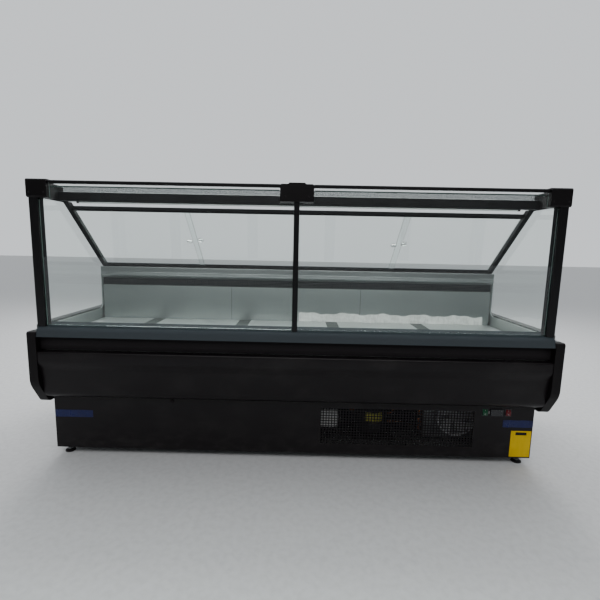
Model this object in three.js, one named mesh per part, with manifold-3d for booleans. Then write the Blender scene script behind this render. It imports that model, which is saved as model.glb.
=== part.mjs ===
// A plug-in refrigerated deli case: an insulated tub between moulded end panels, on a low machine base
// and under a glass superstructure. The front panes lift on a top hinge, and slanted glass doors slide
// at the server's side.
//
// Millimetres, +Z up, +X along the case to the customer's right, +Y from the customer to the server.
// Origin: on the floor, under the middle of the case. Outlines in side view are [setback, height] lists:
// setback runs backwards from the front edge of the end panels, and height upwards from the floor.

import * as THREE from "three";
import { mergeVertices } from "three/addons/utils/BufferGeometryUtils.js";
import Module from "manifold-3d";

const wasm = await Module();
wasm.setup();

// ---------------------------------------------------------------- driving dimensions

const CASE_LENGTH = 2500;
const CASE_DEPTH = 1000;
const GAP = 0.3; // between pieces that touch
const SHEET = 3; // folded steel sheet, with its stiffening folds
const GLASS = 6; // toughened glass
const ROUND_STEPS = 6; // straight facets in a quarter turn

const END_PANEL = { width: 42, cheek: 12, top: 646, ledge: 668, corner: 45, worktop: 925, rise: 715 };
const BODY_HALF = CASE_LENGTH / 2 - END_PANEL.width - GAP; // half length between the end panels
const TUB_HALF = BODY_HALF - END_PANEL.cheek;
const BACK_SETBACK = 604; // front face of the stainless back panel

const BASE = { half: 1190, front: 77, rear: 925, bottom: 37, top: 307.7, frame: 25 };
const FOOT = { x: 1145, setbacks: [113, 890], padRadius: 24, padHeight: 8, stemRadius: 8 };
const TRAY = { bottom: 40, thickness: 4 };

const TUB = { bottom: 308, floor: 60, front: 48, wall: 60, rear: 880, rearWall: 55 };
const DECK = { top: 610, front: 178.3, rear: 600, return: 137, gap: 2 };

// The sill in side view: a low nose, a steep shoulder, a flat top and an inner lip with a skirt.
const SILL = { front: 2, foot: 617, nose: 633, noseSetback: 6, shoulder: 668, shoulderSetback: 27 };
const SILL_TOP = { lip: 672, lipSetback: 124, inner: 136, skirt: 616, thickness: 8 };
const BUMPER = { setback: 29, bottom: 556.5, top: 615.5, back: 47.5 };

const POST = { inner: 1175, outer: 1217, front: 28, rear: 77 };
const MULLION = { half: 12.5, front: 28, rear: 52 };
const BLOCK = { front: 22, rear: 80, bottom: 1262, top: 1344, inner: 1126, outer: 1220 };
const CENTRE = { half: 76, bottom: 1263, top: 1330, capHalf: 34.5, capHeight: 16 };
const HINGE = { setback: 40, height: 1334, pinRadius: 4, pinLength: 6, slot: 5, foot: 9, head: 6 };
const BEAM = { front: 212, rear: 258, bottom: 1270, top: 1312 };
const LAMP = { half: 1106, height: 10, front: 221, rear: 233 };
const SIDE_RAIL = { inner: 1190, bottom: 1304 };
const PANE = { inner: 14, outer: 1172, notch: 4, notchHeight: 1256, bottom: 675 };

// The plane of the rear doors: it starts at the worktop and leans forward to the top beam.
const SLANT = { setback: 622, height: 934.8, lean: THREE.MathUtils.degToRad(47) };
const TRACK = { half: 11, wall: 2.4, fence: 1.1, floor: 2.5, lip: 11.5, length: 455 };
const MEMBER = { inner: 1166, outer: 1190, half: 14 };
const DOOR = { count: 4, overlap: 30, glass: 5, plane: 4.85, clearance: 0.4 };

const GRILLE = { left: 140, right: 897, bottom: 90, top: 275, columns: 14, rows: 5, bar: 12 };
const CONTROL = { height: 273, green: 947.5, display: 1005, red: 1061.5 };
const ROCKER = { width: 24.4, half: 15.5, front: 6, back: 7, nose: 4, clearance: 1, tilt: 8 };
const DISPLAY = { width: 60, height: 34, bezel: 6, body: 54, bodyHeight: 28, bodyDepth: 48 };
const BUTTON = { width: 6, height: 5, depth: 4, clearance: 0.5, heights: [265, 281], x: 1027 };

const EVAPORATOR = { half: 1000, front: 640, rear: 780, bottom: 400, top: 560 };
const EVAPORATOR_FAN = { x: 600, height: 486, radius: 104, hub: 35, setback: 570, depth: 26, blades: 5 };
const FAN_PLATE = { setback: 560, hole: 112 };

const COMPRESSOR = { x: 430, setback: 300, radius: 92, height: 200, plate: 230 };
const CONDENSER = { left: 700, right: 1020, front: 230, rear: 330, bottom: 60, top: 294 };
const CONDENSER_FAN = { x: 860, height: 192, radius: 90, hub: 30, setback: 208, depth: 22, blades: 5 };
const SHROUD = { inner: 95, outer: 101, front: 190 };
const JUNCTION_BOX = { left: 120, right: 230, front: 110, rear: 190, bottom: 160, top: 255 };
const INLET = { x: 900, height: 70, nutRadius: 16, hoseRadius: 10, bore: 6 };

// ---------------------------------------------------------------- finishes

const finish = (color, roughness, metalness, more = {}) =>
  new THREE.MeshStandardMaterial({ color, roughness, metalness, ...more });

const FINISH = {
  blackMoulding: finish(0x1b181a, 0.42, 0),
  blackPaint: finish(0x1a1618, 0.35, 0.1),
  blackGloss: finish(0x232a2d, 0.12, 0.1),
  blackAluminium: finish(0x17161a, 0.3, 0.6),
  blackRubber: finish(0x121214, 0.8, 0),
  stainless: finish(0xa7aeac, 0.28, 1),
  galvanised: finish(0x8d9290, 0.5, 0.9),
  liner: finish(0xdfe2e0, 0.5, 0),
  glass: finish(0xcfe3de, 0.03, 0, { transparent: true, opacity: 0.25 }),
  darkGrille: finish(0x2b3032, 0.6, 0),
  finStack: finish(0xb4b8ba, 0.35, 0.9),
  compressorPaint: finish(0x141416, 0.4, 0.2),
  paleBox: finish(0xc9cbc8, 0.55, 0),
  fanPlastic: finish(0x1d1f21, 0.5, 0),
  diffuser: finish(0xeef0ee, 0.45, 0),
  greenRocker: finish(0x1f8a4c, 0.3, 0),
  redRocker: finish(0xa8202a, 0.3, 0),
  displayPlastic: finish(0x15171b, 0.3, 0),
};

// ---------------------------------------------------------------- shapes

const fromFront = (setback) => setback - CASE_DEPTH / 2; // a setback as a place along Y
const X_AXIS = new THREE.Vector3(1, 0, 0);
const Y_AXIS = new THREE.Vector3(0, 1, 0);
const Z_AXIS = new THREE.Vector3(0, 0, 1);

// A straight prism on an outline of [u, v] points, before it is turned into place.
function prism(outline, depth) {
  const shape = new THREE.Shape(outline.map(([u, v]) => new THREE.Vector2(u, v)));
  return new THREE.ExtrudeGeometry(shape, { depth, bevelEnabled: false });
}

// A side-view outline of [setback, height] points carried along the case from one X to another.
function alongCase(outline, xFrom, xTo) {
  const sideways = new THREE.Matrix4().makeBasis(Y_AXIS, Z_AXIS, X_AXIS);
  return prism(outline, xTo - xFrom).applyMatrix4(sideways).translate(xFrom, fromFront(0), 0);
}

// A front-view outline of [x, height] points, from one setback back to another.
function facing(outline, front, rear) {
  const upwards = new THREE.Matrix4().makeBasis(X_AXIS, Z_AXIS, Y_AXIS.clone().negate());
  return prism(outline, rear - front).applyMatrix4(upwards).translate(0, fromFront(rear), 0);
}

// The same with holes through it, each an outline of its own.
function pierced(outline, holes, front, rear) {
  return cutFrom(facing(outline, front, rear), ...holes.map((hole) => facing(hole, front - 1, rear + 1)));
}

// A plan outline of [x, setback] points, from one height up to another.
const lyingFlat = (outline, bottom, top) => prism(outline, top - bottom).translate(0, fromFront(0), bottom);

const rectangle = (left, low, right, high) => [
  [left, low],
  [right, low],
  [right, high],
  [left, high],
];

// A box given by its ranges along X, in setback and in height.
const block = ([xFrom, xTo], [front, rear], [bottom, top]) =>
  alongCase(rectangle(front, bottom, rear, top), xFrom, xTo);

// A round corner: points on a quarter circle about [u, v] from one angle to another, in degrees.
function arc([u, v], radius, fromDegrees, toDegrees, steps = ROUND_STEPS) {
  return Array.from({ length: steps + 1 }, (_, i) => {
    const angle = THREE.MathUtils.degToRad(fromDegrees + ((toDegrees - fromDegrees) * i) / steps);
    return [u + radius * Math.cos(angle), v + radius * Math.sin(angle)];
  });
}

// The closed outline of a sheet folded along a path: the path, then the path moved to its left.
function foldedSheet(path, thickness) {
  const points = path.map(([u, v]) => new THREE.Vector2(u, v));
  const directions = points.slice(1).map((p, i) => p.clone().sub(points[i]).normalize());
  const moved = points.map((p, i) => {
    const before = directions[Math.max(i - 1, 0)];
    const after = directions[Math.min(i, directions.length - 1)];
    const leftBefore = new THREE.Vector2(-before.y, before.x);
    const leftAfter = new THREE.Vector2(-after.y, after.x);
    const mitre = leftBefore.clone().add(leftAfter).normalize();
    const shift = mitre.multiplyScalar(thickness / mitre.dot(leftBefore));
    return p.clone().add(shift).toArray();
  });
  return [...path, ...moved.reverse()];
}

// A turned piece about an axis through the origin. Its [radius, length] points start and end on the axis.
function turned(profile, axis, segments = 24) {
  const geometry = new THREE.LatheGeometry(
    profile.map(([radius, length]) => new THREE.Vector2(radius, length)),
    segments,
  );
  return geometry.applyQuaternion(new THREE.Quaternion().setFromUnitVectors(Y_AXIS, axis));
}

// ---------------------------------------------------------------- joins and cuts

function solidOf(geometry) {
  const plain = (geometry.index ? geometry.toNonIndexed() : geometry).clone();
  plain.deleteAttribute("normal");
  plain.deleteAttribute("uv");
  const merged = mergeVertices(plain, 1e-4);
  const mesh = new wasm.Mesh({
    numProp: 3,
    vertProperties: new Float32Array(merged.attributes.position.array),
    triVerts: new Uint32Array(merged.index.array),
  });
  return new wasm.Manifold(mesh);
}

function geometryOf(solid) {
  const { numProp, vertProperties, triVerts } = solid.getMesh();
  const position = new Float32Array((vertProperties.length / numProp) * 3);
  for (let i = 0; i < position.length / 3; i++) {
    position.set(vertProperties.subarray(i * numProp, i * numProp + 3), i * 3);
  }
  const geometry = new THREE.BufferGeometry();
  geometry.setAttribute("position", new THREE.BufferAttribute(position, 3));
  geometry.setIndex(new THREE.BufferAttribute(new Uint32Array(triVerts), 1));
  geometry.computeVertexNormals();
  return geometry;
}

const joined = (...geometries) =>
  geometryOf(geometries.map(solidOf).reduce((whole, piece) => whole.add(piece)));

const cutFrom = (geometry, ...tools) =>
  geometryOf(tools.map(solidOf).reduce((rest, tool) => rest.subtract(tool), solidOf(geometry)));

// ---------------------------------------------------------------- the assembly

const deliCase = new THREE.Group();

function add(parent, name, geometry, material) {
  const mesh = new THREE.Mesh(geometry, material);
  mesh.name = name;
  parent.add(mesh);
  return mesh;
}

// Calls build(side name, sign) for the left (-1) and the right (+1).
function bothEnds(build) {
  build("left", -1);
  build("right", 1);
}

// A range along X at one end of the case, from its inner to its outer distance from the middle.
const endRange = (sign, inner, outer) => (sign > 0 ? [inner, outer] : [-outer, -inner]);

// ---- base: two end frames and a tray on four levelling feet, closed by a front and a rear panel

function levellingFoot() {
  const { padRadius, padHeight, stemRadius } = FOOT;
  const top = TRAY.bottom - GAP;
  const chamfer = 3;
  return turned(
    [
      [0, 0],
      [padRadius, 0],
      [padRadius, padHeight - chamfer],
      [padRadius - chamfer, padHeight],
      [stemRadius, padHeight + chamfer],
      [stemRadius, top],
      [0, top],
    ],
    Z_AXIS,
    20,
  );
}

// Rectangular holes in even rows and columns inside a field, with bars of one width between them.
function holeGrid({ left, right, bottom, top, columns, rows, bar }) {
  const pitchX = (right - left + bar) / columns;
  const pitchZ = (top - bottom + bar) / rows;
  return Array.from({ length: columns * rows }, (_, i) => {
    const x = left + (i % columns) * pitchX;
    const z = bottom + Math.floor(i / columns) * pitchZ;
    return rectangle(x, z, x + pitchX - bar, z + pitchZ - bar);
  });
}

function buildBase() {
  const base = new THREE.Group();
  const { half, front, rear, bottom, top, frame } = BASE;
  const face = rectangle(-half, bottom, half, top);
  const rockerHole = (x) => {
    const wide = ROCKER.width / 2 + ROCKER.clearance;
    const tall = ROCKER.half + ROCKER.clearance;
    return rectangle(x - wide, CONTROL.height - tall, x + wide, CONTROL.height + tall);
  };
  const displayHole = rectangle(
    CONTROL.display - DISPLAY.body / 2 - GAP,
    CONTROL.height - DISPLAY.bodyHeight / 2 - GAP,
    CONTROL.display + DISPLAY.body / 2 + GAP,
    CONTROL.height + DISPLAY.bodyHeight / 2 + GAP,
  );
  const frontHoles = [...holeGrid(GRILLE), rockerHole(CONTROL.green), rockerHole(CONTROL.red), displayHole];
  const louvres = { left: 140, right: 1040, bottom: 110, top: 260, columns: 3, rows: 6, bar: 16 };
  const inletHole = arc([INLET.x, INLET.height], INLET.hoseRadius + 1, 0, 345, 23);
  add(base, "base_front_panel", pierced(face, frontHoles, front, front + SHEET), FINISH.blackPaint);
  const rearHoles = [...holeGrid(louvres), inletHole];
  add(base, "base_rear_panel", pierced(face, rearHoles, rear - SHEET, rear), FINISH.blackPaint);

  const insideFront = front + SHEET + GAP;
  const insideRear = rear - SHEET - GAP;
  const trayRange = [-half + frame + GAP, half - frame - GAP];
  const tray = block(trayRange, [insideFront, insideRear], [TRAY.bottom, TRAY.bottom + TRAY.thickness]);
  add(base, "base_tray", tray, FINISH.galvanised);
  bothEnds((side, sign) => {
    const range = endRange(sign, half - frame, half);
    const frameBlock = block(range, [insideFront, insideRear], [bottom, top]);
    add(base, `base_end_frame_${side}`, frameBlock, FINISH.blackPaint);
    FOOT.setbacks.forEach((setback, i) => {
      const name = `levelling_foot_${i ? "rear" : "front"}_${side}`;
      const foot = add(base, name, levellingFoot(), FINISH.blackRubber);
      foot.position.set(sign * FOOT.x, fromFront(setback), 0);
    });
  });
  return base;
}

// ---- machinery: compressor, condenser with its fan, junction box and the mains inlet

// A rotor about +Y: a hub with pitched blades, centred on the origin.
function fanRotor({ radius, hub, depth, blades }) {
  const bladeThickness = 2.5;
  const pitch = THREE.MathUtils.degToRad(24);
  const root = hub * 0.8;
  const body = turned([[0, -depth / 2], [hub, -depth / 2], [hub, depth / 2], [0, depth / 2]], Y_AXIS, 16);
  const pieces = Array.from({ length: blades }, (_, i) => {
    const blade = new THREE.BoxGeometry(radius - root, bladeThickness, radius * 0.55);
    blade.rotateX(pitch).translate((radius + root) / 2 - 1.5, 0, 0);
    return blade.rotateY((2 * Math.PI * i) / blades);
  });
  const reachProfile = [[0, -depth / 2], [radius, -depth / 2], [radius, depth / 2], [0, depth / 2]];
  const reach = turned(reachProfile, Y_AXIS, 32);
  const rotor = [body, ...pieces].map(solidOf).reduce((whole, piece) => whole.add(piece));
  return geometryOf(rotor.intersect(solidOf(reach)));
}

function compressorShell() {
  const { radius, height, plate } = COMPRESSOR;
  const floor = TRAY.bottom + TRAY.thickness + GAP;
  const seam = height * 0.48;
  const lip = 4;
  const footHeight = 14;
  const shell = turned(
    [
      [0, footHeight],
      [radius * 0.55, footHeight + 4],
      [radius * 0.9, footHeight + 22],
      [radius, footHeight + 48],
      [radius, seam],
      [radius + lip, seam],
      [radius + lip, seam + lip],
      [radius, seam + lip],
      [radius * 0.96, height * 0.78],
      [radius * 0.78, height * 0.92],
      [radius * 0.4, height * 0.99],
      [0, height],
    ],
    Z_AXIS,
  );
  const footTop = footHeight + 6;
  const foot = new THREE.BoxGeometry(plate, plate * 0.7, footTop).translate(0, 0, footTop / 2);
  return joined(shell, foot).translate(COMPRESSOR.x, fromFront(COMPRESSOR.setback), floor);
}

function condenserWithShroud() {
  const { left, right, front, rear, bottom, top } = CONDENSER;
  const coil = block([left, right], [front, rear], [bottom, top]);
  const duct = turned(
    [
      [SHROUD.inner, 0],
      [SHROUD.outer, 0],
      [SHROUD.outer, front - SHROUD.front + 1],
      [SHROUD.inner, front - SHROUD.front + 1],
      [SHROUD.inner, 0],
    ],
    Y_AXIS,
    32,
  ).translate(CONDENSER_FAN.x, fromFront(SHROUD.front), CONDENSER_FAN.height);
  return joined(coil, duct);
}

function mainsInlet() {
  const { nutRadius, hoseRadius, bore } = INLET;
  const through = 10;
  return turned(
    [
      [bore, -through],
      [hoseRadius, -through],
      [hoseRadius, GAP],
      [nutRadius, GAP],
      [nutRadius, 9],
      [hoseRadius, 14],
      [hoseRadius - 1, 22],
      [bore, 22],
      [bore, -through],
    ],
    Y_AXIS,
  ).translate(INLET.x, fromFront(BASE.rear), INLET.height);
}

function buildMachinery() {
  const machinery = new THREE.Group();
  add(machinery, "compressor", compressorShell(), FINISH.compressorPaint);
  add(machinery, "condenser", condenserWithShroud(), FINISH.finStack);
  const fan = add(machinery, "condenser_fan", fanRotor(CONDENSER_FAN), FINISH.fanPlastic);
  fan.position.set(CONDENSER_FAN.x, fromFront(CONDENSER_FAN.setback), CONDENSER_FAN.height);
  const { left, right, front, rear, bottom, top } = JUNCTION_BOX;
  add(machinery, "junction_box", block([left, right], [front, rear], [bottom, top]), FINISH.paleBox);
  add(machinery, "mains_inlet", mainsInlet(), FINISH.blackRubber);
  return machinery;
}

// ---- tub: a foamed floor and two foamed walls, closed at its ends by the end panels

// Height of the sill's flat top at a setback behind its shoulder.
function sillTop(setback) {
  const { shoulder, shoulderSetback } = SILL;
  const { lip, lipSetback } = SILL_TOP;
  return shoulder + ((lip - shoulder) * (setback - shoulderSetback)) / (lipSetback - shoulderSetback);
}

const sillUnderside = (setback) => sillTop(setback) - SILL_TOP.thickness;

function buildTub() {
  const tub = new THREE.Group();
  const { bottom, floor, front, wall, rear, rearWall } = TUB;
  const range = [-TUB_HALF + GAP, TUB_HALF - GAP];
  const wallFoot = bottom + floor + GAP;
  const tubFloor = block(range, [BASE.front - 5, rear + rearWall], [bottom, bottom + floor]);
  add(tub, "tub_floor", tubFloor, FINISH.liner);
  const clear = 1;
  const frontWall = [
    [front, wallFoot],
    [front + wall, wallFoot],
    [front + wall, sillUnderside(front + wall) - clear],
    [front, sillUnderside(front) - clear],
  ];
  add(tub, "tub_front_wall", alongCase(frontWall, ...range), FINISH.liner);
  const rearTop = END_PANEL.worktop - SHEET - GAP;
  add(tub, "tub_rear_wall", block(range, [rear, rear + rearWall], [wallFoot, rearTop]), FINISH.blackPaint);
  return tub;
}

// ---- end panels: thick mouldings that close the tub, low beside the display and high beside the worktop.
// The outer skin rises further back than the cheek, whose front edge meets the side glass.

function endPanel(sign) {
  const { width, cheek, top, ledge, corner, worktop, rise } = END_PANEL;
  const half = CASE_LENGTH / 2;
  const rim = ledge + 8; // the outer skin hides the lower edge of the side glass
  const noseRound = 12;
  const skin = [
    [68, 281],
    [939, 281],
    [958, 300],
    [958, 815],
    [1000, 870],
    ...arc([985, worktop - 15], 15, 0, 90, 3),
    ...arc([rise + 22, worktop - 22], 22, 90, 180, 4),
    ...arc([rise - corner, rim + corner], corner, 0, -90),
    [140, rim],
    [96, top + 2],
    ...arc([noseRound, top - noseRound], noseRound, 90, 180, 4),
    [0, 392],
  ];
  const glassCorner = BACK_SETBACK + 6 - corner;
  const inside = [
    [100, 310],
    [940, 310],
    [940, worktop - GAP],
    [glassCorner + corner + GAP, worktop - GAP],
    ...arc([glassCorner, ledge + GAP + corner], corner + GAP, 0, -90),
    [SILL_TOP.inner + 1, ledge],
    [SILL_TOP.inner + 1, 600],
    [TUB.front, 600],
    [TUB.front, 375],
    [78, 330],
  ];
  const outer = alongCase(skin, ...endRange(sign, half - width, half));
  const inner = alongCase(inside, ...endRange(sign, half - width - cheek, half - width + 1));
  return joined(outer, inner);
}

// ---- front: the glossy sill, a recessed bumper strip and the painted front panel under them

function buildFront() {
  const front = new THREE.Group();
  const range = [-BODY_HALF, BODY_HALF];
  const { foot, nose, noseSetback, shoulder, shoulderSetback } = SILL;
  const { lip, lipSetback, inner, skirt, thickness } = SILL_TOP;
  const noseInside = SILL.front + thickness;
  const sillOutside = [
    [SILL.front, foot],
    [SILL.front, nose - 4],
    [noseSetback, nose],
    [noseSetback + 5, nose + 20],
    [shoulderSetback - 7, shoulder - 5],
    [shoulderSetback, shoulder],
    [lipSetback, lip],
    [inner - 4, lip],
    [inner, lip - 4],
    [inner, skirt],
  ];
  const sillInside = [
    [inner - thickness, skirt],
    [inner - thickness, lip - thickness],
    [shoulderSetback + 4, sillUnderside(shoulderSetback + 4)],
    [noseInside + 4, nose + 12],
    [noseInside, nose],
    [noseInside, foot],
  ];
  add(front, "front_sill", alongCase([...sillOutside, ...sillInside], ...range), FINISH.blackGloss);

  const { setback, bottom, top, back } = BUMPER;
  const bumper = [
    [setback + 3, bottom],
    [back, bottom],
    [back, top],
    [setback + 3, top],
    [setback, top - 5],
    [setback, bottom + 5],
  ];
  add(front, "bumper_strip", alongCase(bumper, ...range), FINISH.blackRubber);

  const panelPath = [
    [BUMPER.back - 2, 551],
    ...arc([12, 542], 9, 90, 180, 4),
    [3, 492],
    [15, 484],
    [20, 430],
    [30, 356],
    ...arc([76, 352], 44, 185, 262, 6),
  ];
  const panel = foldedSheet(panelPath, SHEET);
  add(front, "front_panel", alongCase(panel, ...range), FINISH.blackPaint);
  return front;
}

// ---- display well: return-air grille, deck plates, back panel, air outlet, fans, coil and the worktop

function buildWell() {
  const well = new THREE.Group();
  const half = TUB_HALF - 6;
  const floor = TUB.bottom + TUB.floor + GAP;
  const under = DECK.top - SHEET;

  const leg = [
    [DECK.return, floor],
    [DECK.return + SHEET, floor],
    [DECK.return + SHEET, under],
    [DECK.front - GAP, under],
    [DECK.front - GAP, DECK.top],
    [DECK.return, DECK.top],
  ];
  const slots = 24;
  const slotPitch = (2 * half) / slots;
  const slotTools = Array.from({ length: slots }, (_, i) => {
    const centre = -half + slotPitch * (i + 0.5);
    const range = [centre - slotPitch * 0.4, centre + slotPitch * 0.4];
    return block(range, [DECK.return + 10, DECK.front - 8], [under - 1, DECK.top + 1]);
  });
  add(well, "return_air_grille", cutFrom(alongCase(leg, -half, half), ...slotTools), FINISH.stainless);

  bothEnds((side, sign) => {
    const range = endRange(sign, DECK.gap / 2, half);
    const deckPlate = block(range, [DECK.front, DECK.rear], [under, DECK.top]);
    add(well, `deck_plate_${side}`, deckPlate, FINISH.stainless);
  });

  const { x, height } = EVAPORATOR_FAN;
  const fanHoles = [-x, x].map((centre) => arc([centre, height], FAN_PLATE.hole, 0, 352.5, 47));
  const plate = rectangle(-half, floor, half, under - GAP);
  const plateRear = FAN_PLATE.setback + SHEET;
  add(well, "fan_plate", pierced(plate, fanHoles, FAN_PLATE.setback, plateRear), FINISH.galvanised);
  bothEnds((side, sign) => {
    const fan = add(well, `evaporator_fan_${side}`, fanRotor(EVAPORATOR_FAN), FINISH.fanPlastic);
    fan.position.set(sign * x, fromFront(EVAPORATOR_FAN.setback), height);
  });

  const coil = block(
    [-EVAPORATOR.half, EVAPORATOR.half],
    [EVAPORATOR.front, EVAPORATOR.rear],
    [EVAPORATOR.bottom, EVAPORATOR.top],
  );
  add(well, "evaporator_coil", coil, FINISH.finStack);

  const outlet = { bottom: 814, top: 856.7, rear: BACK_SETBACK + 30 };
  const backRange = [BACK_SETBACK, BACK_SETBACK + SHEET];
  const backPanel = block([-half, half], backRange, [EVAPORATOR.top, outlet.bottom - GAP]);
  add(well, "back_panel", backPanel, FINISH.stainless);
  const outletFace = rectangle(-half, outlet.bottom, half, outlet.top);
  const cells = { left: -half + 6, right: half - 6, bottom: 820, top: 851, columns: 24, rows: 1, bar: 5 };
  const outletBody = pierced(outletFace, holeGrid(cells), BACK_SETBACK + 8, outlet.rear);
  add(well, "rear_air_outlet", outletBody, FINISH.darkGrille);

  // One folded stainless top: an apron that turns down over the air outlet, the top and its rear hem.
  const topPath = [
    [BACK_SETBACK + 20, 857],
    [BACK_SETBACK + 4, 857],
    [BACK_SETBACK - 12, 872],
    [BACK_SETBACK - 12, 880],
    [BACK_SETBACK, 892],
    [BACK_SETBACK, END_PANEL.worktop],
    [CASE_DEPTH, END_PANEL.worktop],
    [CASE_DEPTH, END_PANEL.worktop - 28],
    [CASE_DEPTH - 14, END_PANEL.worktop - 28],
  ].reverse();
  const topHalf = TUB_HALF - GAP;
  add(well, "worktop", alongCase(foldedSheet(topPath, SHEET), -topHalf, topHalf), FINISH.stainless);
  return well;
}

// ---- superstructure: posts, mullion, corner and centre blocks, beam, lamp, fixed glass

// A round bore cut for a hinge pin, open towards one side of a block, centred at x.
function pinBore(x) {
  const radius = HINGE.pinRadius + 0.5;
  const reach = HINGE.pinLength + 1;
  const bore = turned([[0, -reach], [radius, -reach], [radius, reach], [0, reach]], X_AXIS, 20);
  return bore.translate(x, fromFront(HINGE.setback), HINGE.height);
}

function cornerBlock(sign) {
  const { front, rear, bottom, top, inner, outer } = BLOCK;
  const chamfer = 6;
  const outline = [
    [front + chamfer, bottom],
    [rear, bottom],
    [rear, top],
    [front + chamfer, top],
    [front, top - chamfer],
    [front, bottom + chamfer],
  ];
  const head = alongCase(outline, ...endRange(sign, inner, outer));
  const railRange = endRange(sign, SIDE_RAIL.inner, outer);
  const rail = block(railRange, [rear - 1, BEAM.rear], [SIDE_RAIL.bottom, top]);
  return cutFrom(joined(head, rail), pinBore(sign * inner));
}

function centreBlock() {
  const { half, bottom, top, capHalf, capHeight } = CENTRE;
  const chamfer = 6;
  const outline = [
    [-half, bottom],
    [half, bottom],
    [half, top + 5],
    [half - chamfer, top + 10],
    [capHalf + chamfer, top + 10],
    [capHalf, top + capHeight],
    [-capHalf, top + capHeight],
    [-capHalf - chamfer, top + 10],
    [-half + chamfer, top + 10],
    [-half, top + 5],
  ];
  return cutFrom(facing(outline, BLOCK.front, BLOCK.rear), pinBore(-half), pinBore(half));
}

// An upright that stands on the sill and ends under a block.
const upright = ({ front, rear }, top) => [
  [front, sillTop(front) + GAP],
  [rear, sillTop(rear) + GAP],
  [rear, top],
  [front, top],
];

// A point of the door plane: along the slant from the worktop, and across it, positive towards the server.
function onSlant(along, across) {
  const { setback, height, lean } = SLANT;
  const back = setback - along * Math.sin(lean) + across * Math.cos(lean);
  return [back, height + along * Math.cos(lean) + across * Math.sin(lean)];
}

// Where a line of the door plane, offset across it, crosses a height.
function slantAt(height, across) {
  const along = (height - SLANT.height - across * Math.sin(SLANT.lean)) / Math.cos(SLANT.lean);
  return onSlant(along, across);
}

function sideGlassOutline() {
  const { ledge, corner, worktop } = END_PANEL;
  const rear = BACK_SETBACK + 6;
  const front = BLOCK.rear + 1;
  const top = SIDE_RAIL.bottom - GAP;
  const lip = SILL_TOP.lip + 6;
  const bottom = ledge + GAP;
  return [
    [front, lip],
    [SILL_TOP.inner + 2, lip],
    [SILL_TOP.inner + 2, bottom],
    ...arc([rear - corner, bottom + corner], corner, -90, 0),
    [rear, worktop + 1],
    slantAt(worktop + 1, MEMBER.half),
    slantAt(BEAM.bottom, MEMBER.half),
    [BEAM.rear, top],
    [front, top],
  ];
}

function topGlassOutline() {
  const half = SIDE_RAIL.inner - GAP;
  const front = HINGE.setback + 16;
  const notch = BLOCK.rear + 1;
  const rear = BEAM.rear - 4;
  const inner = CENTRE.half + 4;
  const outer = BLOCK.inner - 4;
  return [
    [-half, rear],
    [-half, notch],
    [-outer, notch],
    [-outer, front],
    [-inner, front],
    [-inner, notch],
    [inner, notch],
    [inner, front],
    [outer, front],
    [outer, notch],
    [half, notch],
    [half, rear],
  ];
}

function buildSuperstructure() {
  const top = new THREE.Group();
  const mullionTop = CENTRE.bottom - GAP;
  const mullion = alongCase(upright(MULLION, mullionTop), -MULLION.half, MULLION.half);
  add(top, "mullion", mullion, FINISH.blackAluminium);
  add(top, "centre_block", centreBlock(), FINISH.blackMoulding);
  bothEnds((side, sign) => {
    const post = upright(POST, BLOCK.bottom - GAP);
    const postRange = endRange(sign, POST.inner, POST.outer);
    add(top, `corner_post_${side}`, alongCase(post, ...postRange), FINISH.blackAluminium);
    add(top, `corner_block_${side}`, cornerBlock(sign), FINISH.blackMoulding);
    const glassInner = CASE_LENGTH / 2 - END_PANEL.width - END_PANEL.cheek + 2;
    const glassRange = endRange(sign, glassInner, glassInner + GLASS);
    add(top, `side_glass_${side}`, alongCase(sideGlassOutline(), ...glassRange), FINISH.glass);
    const member = [
      slantAt(END_PANEL.worktop + GAP, -MEMBER.half),
      slantAt(END_PANEL.worktop + GAP, MEMBER.half),
      slantAt(BEAM.bottom - GAP, MEMBER.half),
      slantAt(BEAM.bottom - GAP, -MEMBER.half),
    ];
    const memberRange = endRange(sign, MEMBER.inner, MEMBER.outer - GAP);
    add(top, `door_side_member_${side}`, alongCase(member, ...memberRange), FINISH.blackAluminium);
  });

  const beamHalf = SIDE_RAIL.inner - GAP;
  const beam = block([-beamHalf, beamHalf], [BEAM.front, BEAM.rear], [BEAM.bottom, BEAM.top]);
  add(top, "rear_top_beam", beam, FINISH.blackAluminium);
  const lampHeights = [BEAM.bottom - LAMP.height, BEAM.bottom - GAP];
  const lamp = block([-LAMP.half, LAMP.half], [LAMP.front, LAMP.rear], lampHeights);
  add(top, "led_lamp", lamp, FINISH.diffuser);
  const roof = lyingFlat(topGlassOutline(), BEAM.top + GAP, BEAM.top + GAP + GLASS);
  add(top, "top_glass", roof, FINISH.glass);
  return top;
}

// ---- front panes: each hangs in a rail whose end pins turn in the blocks

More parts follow.
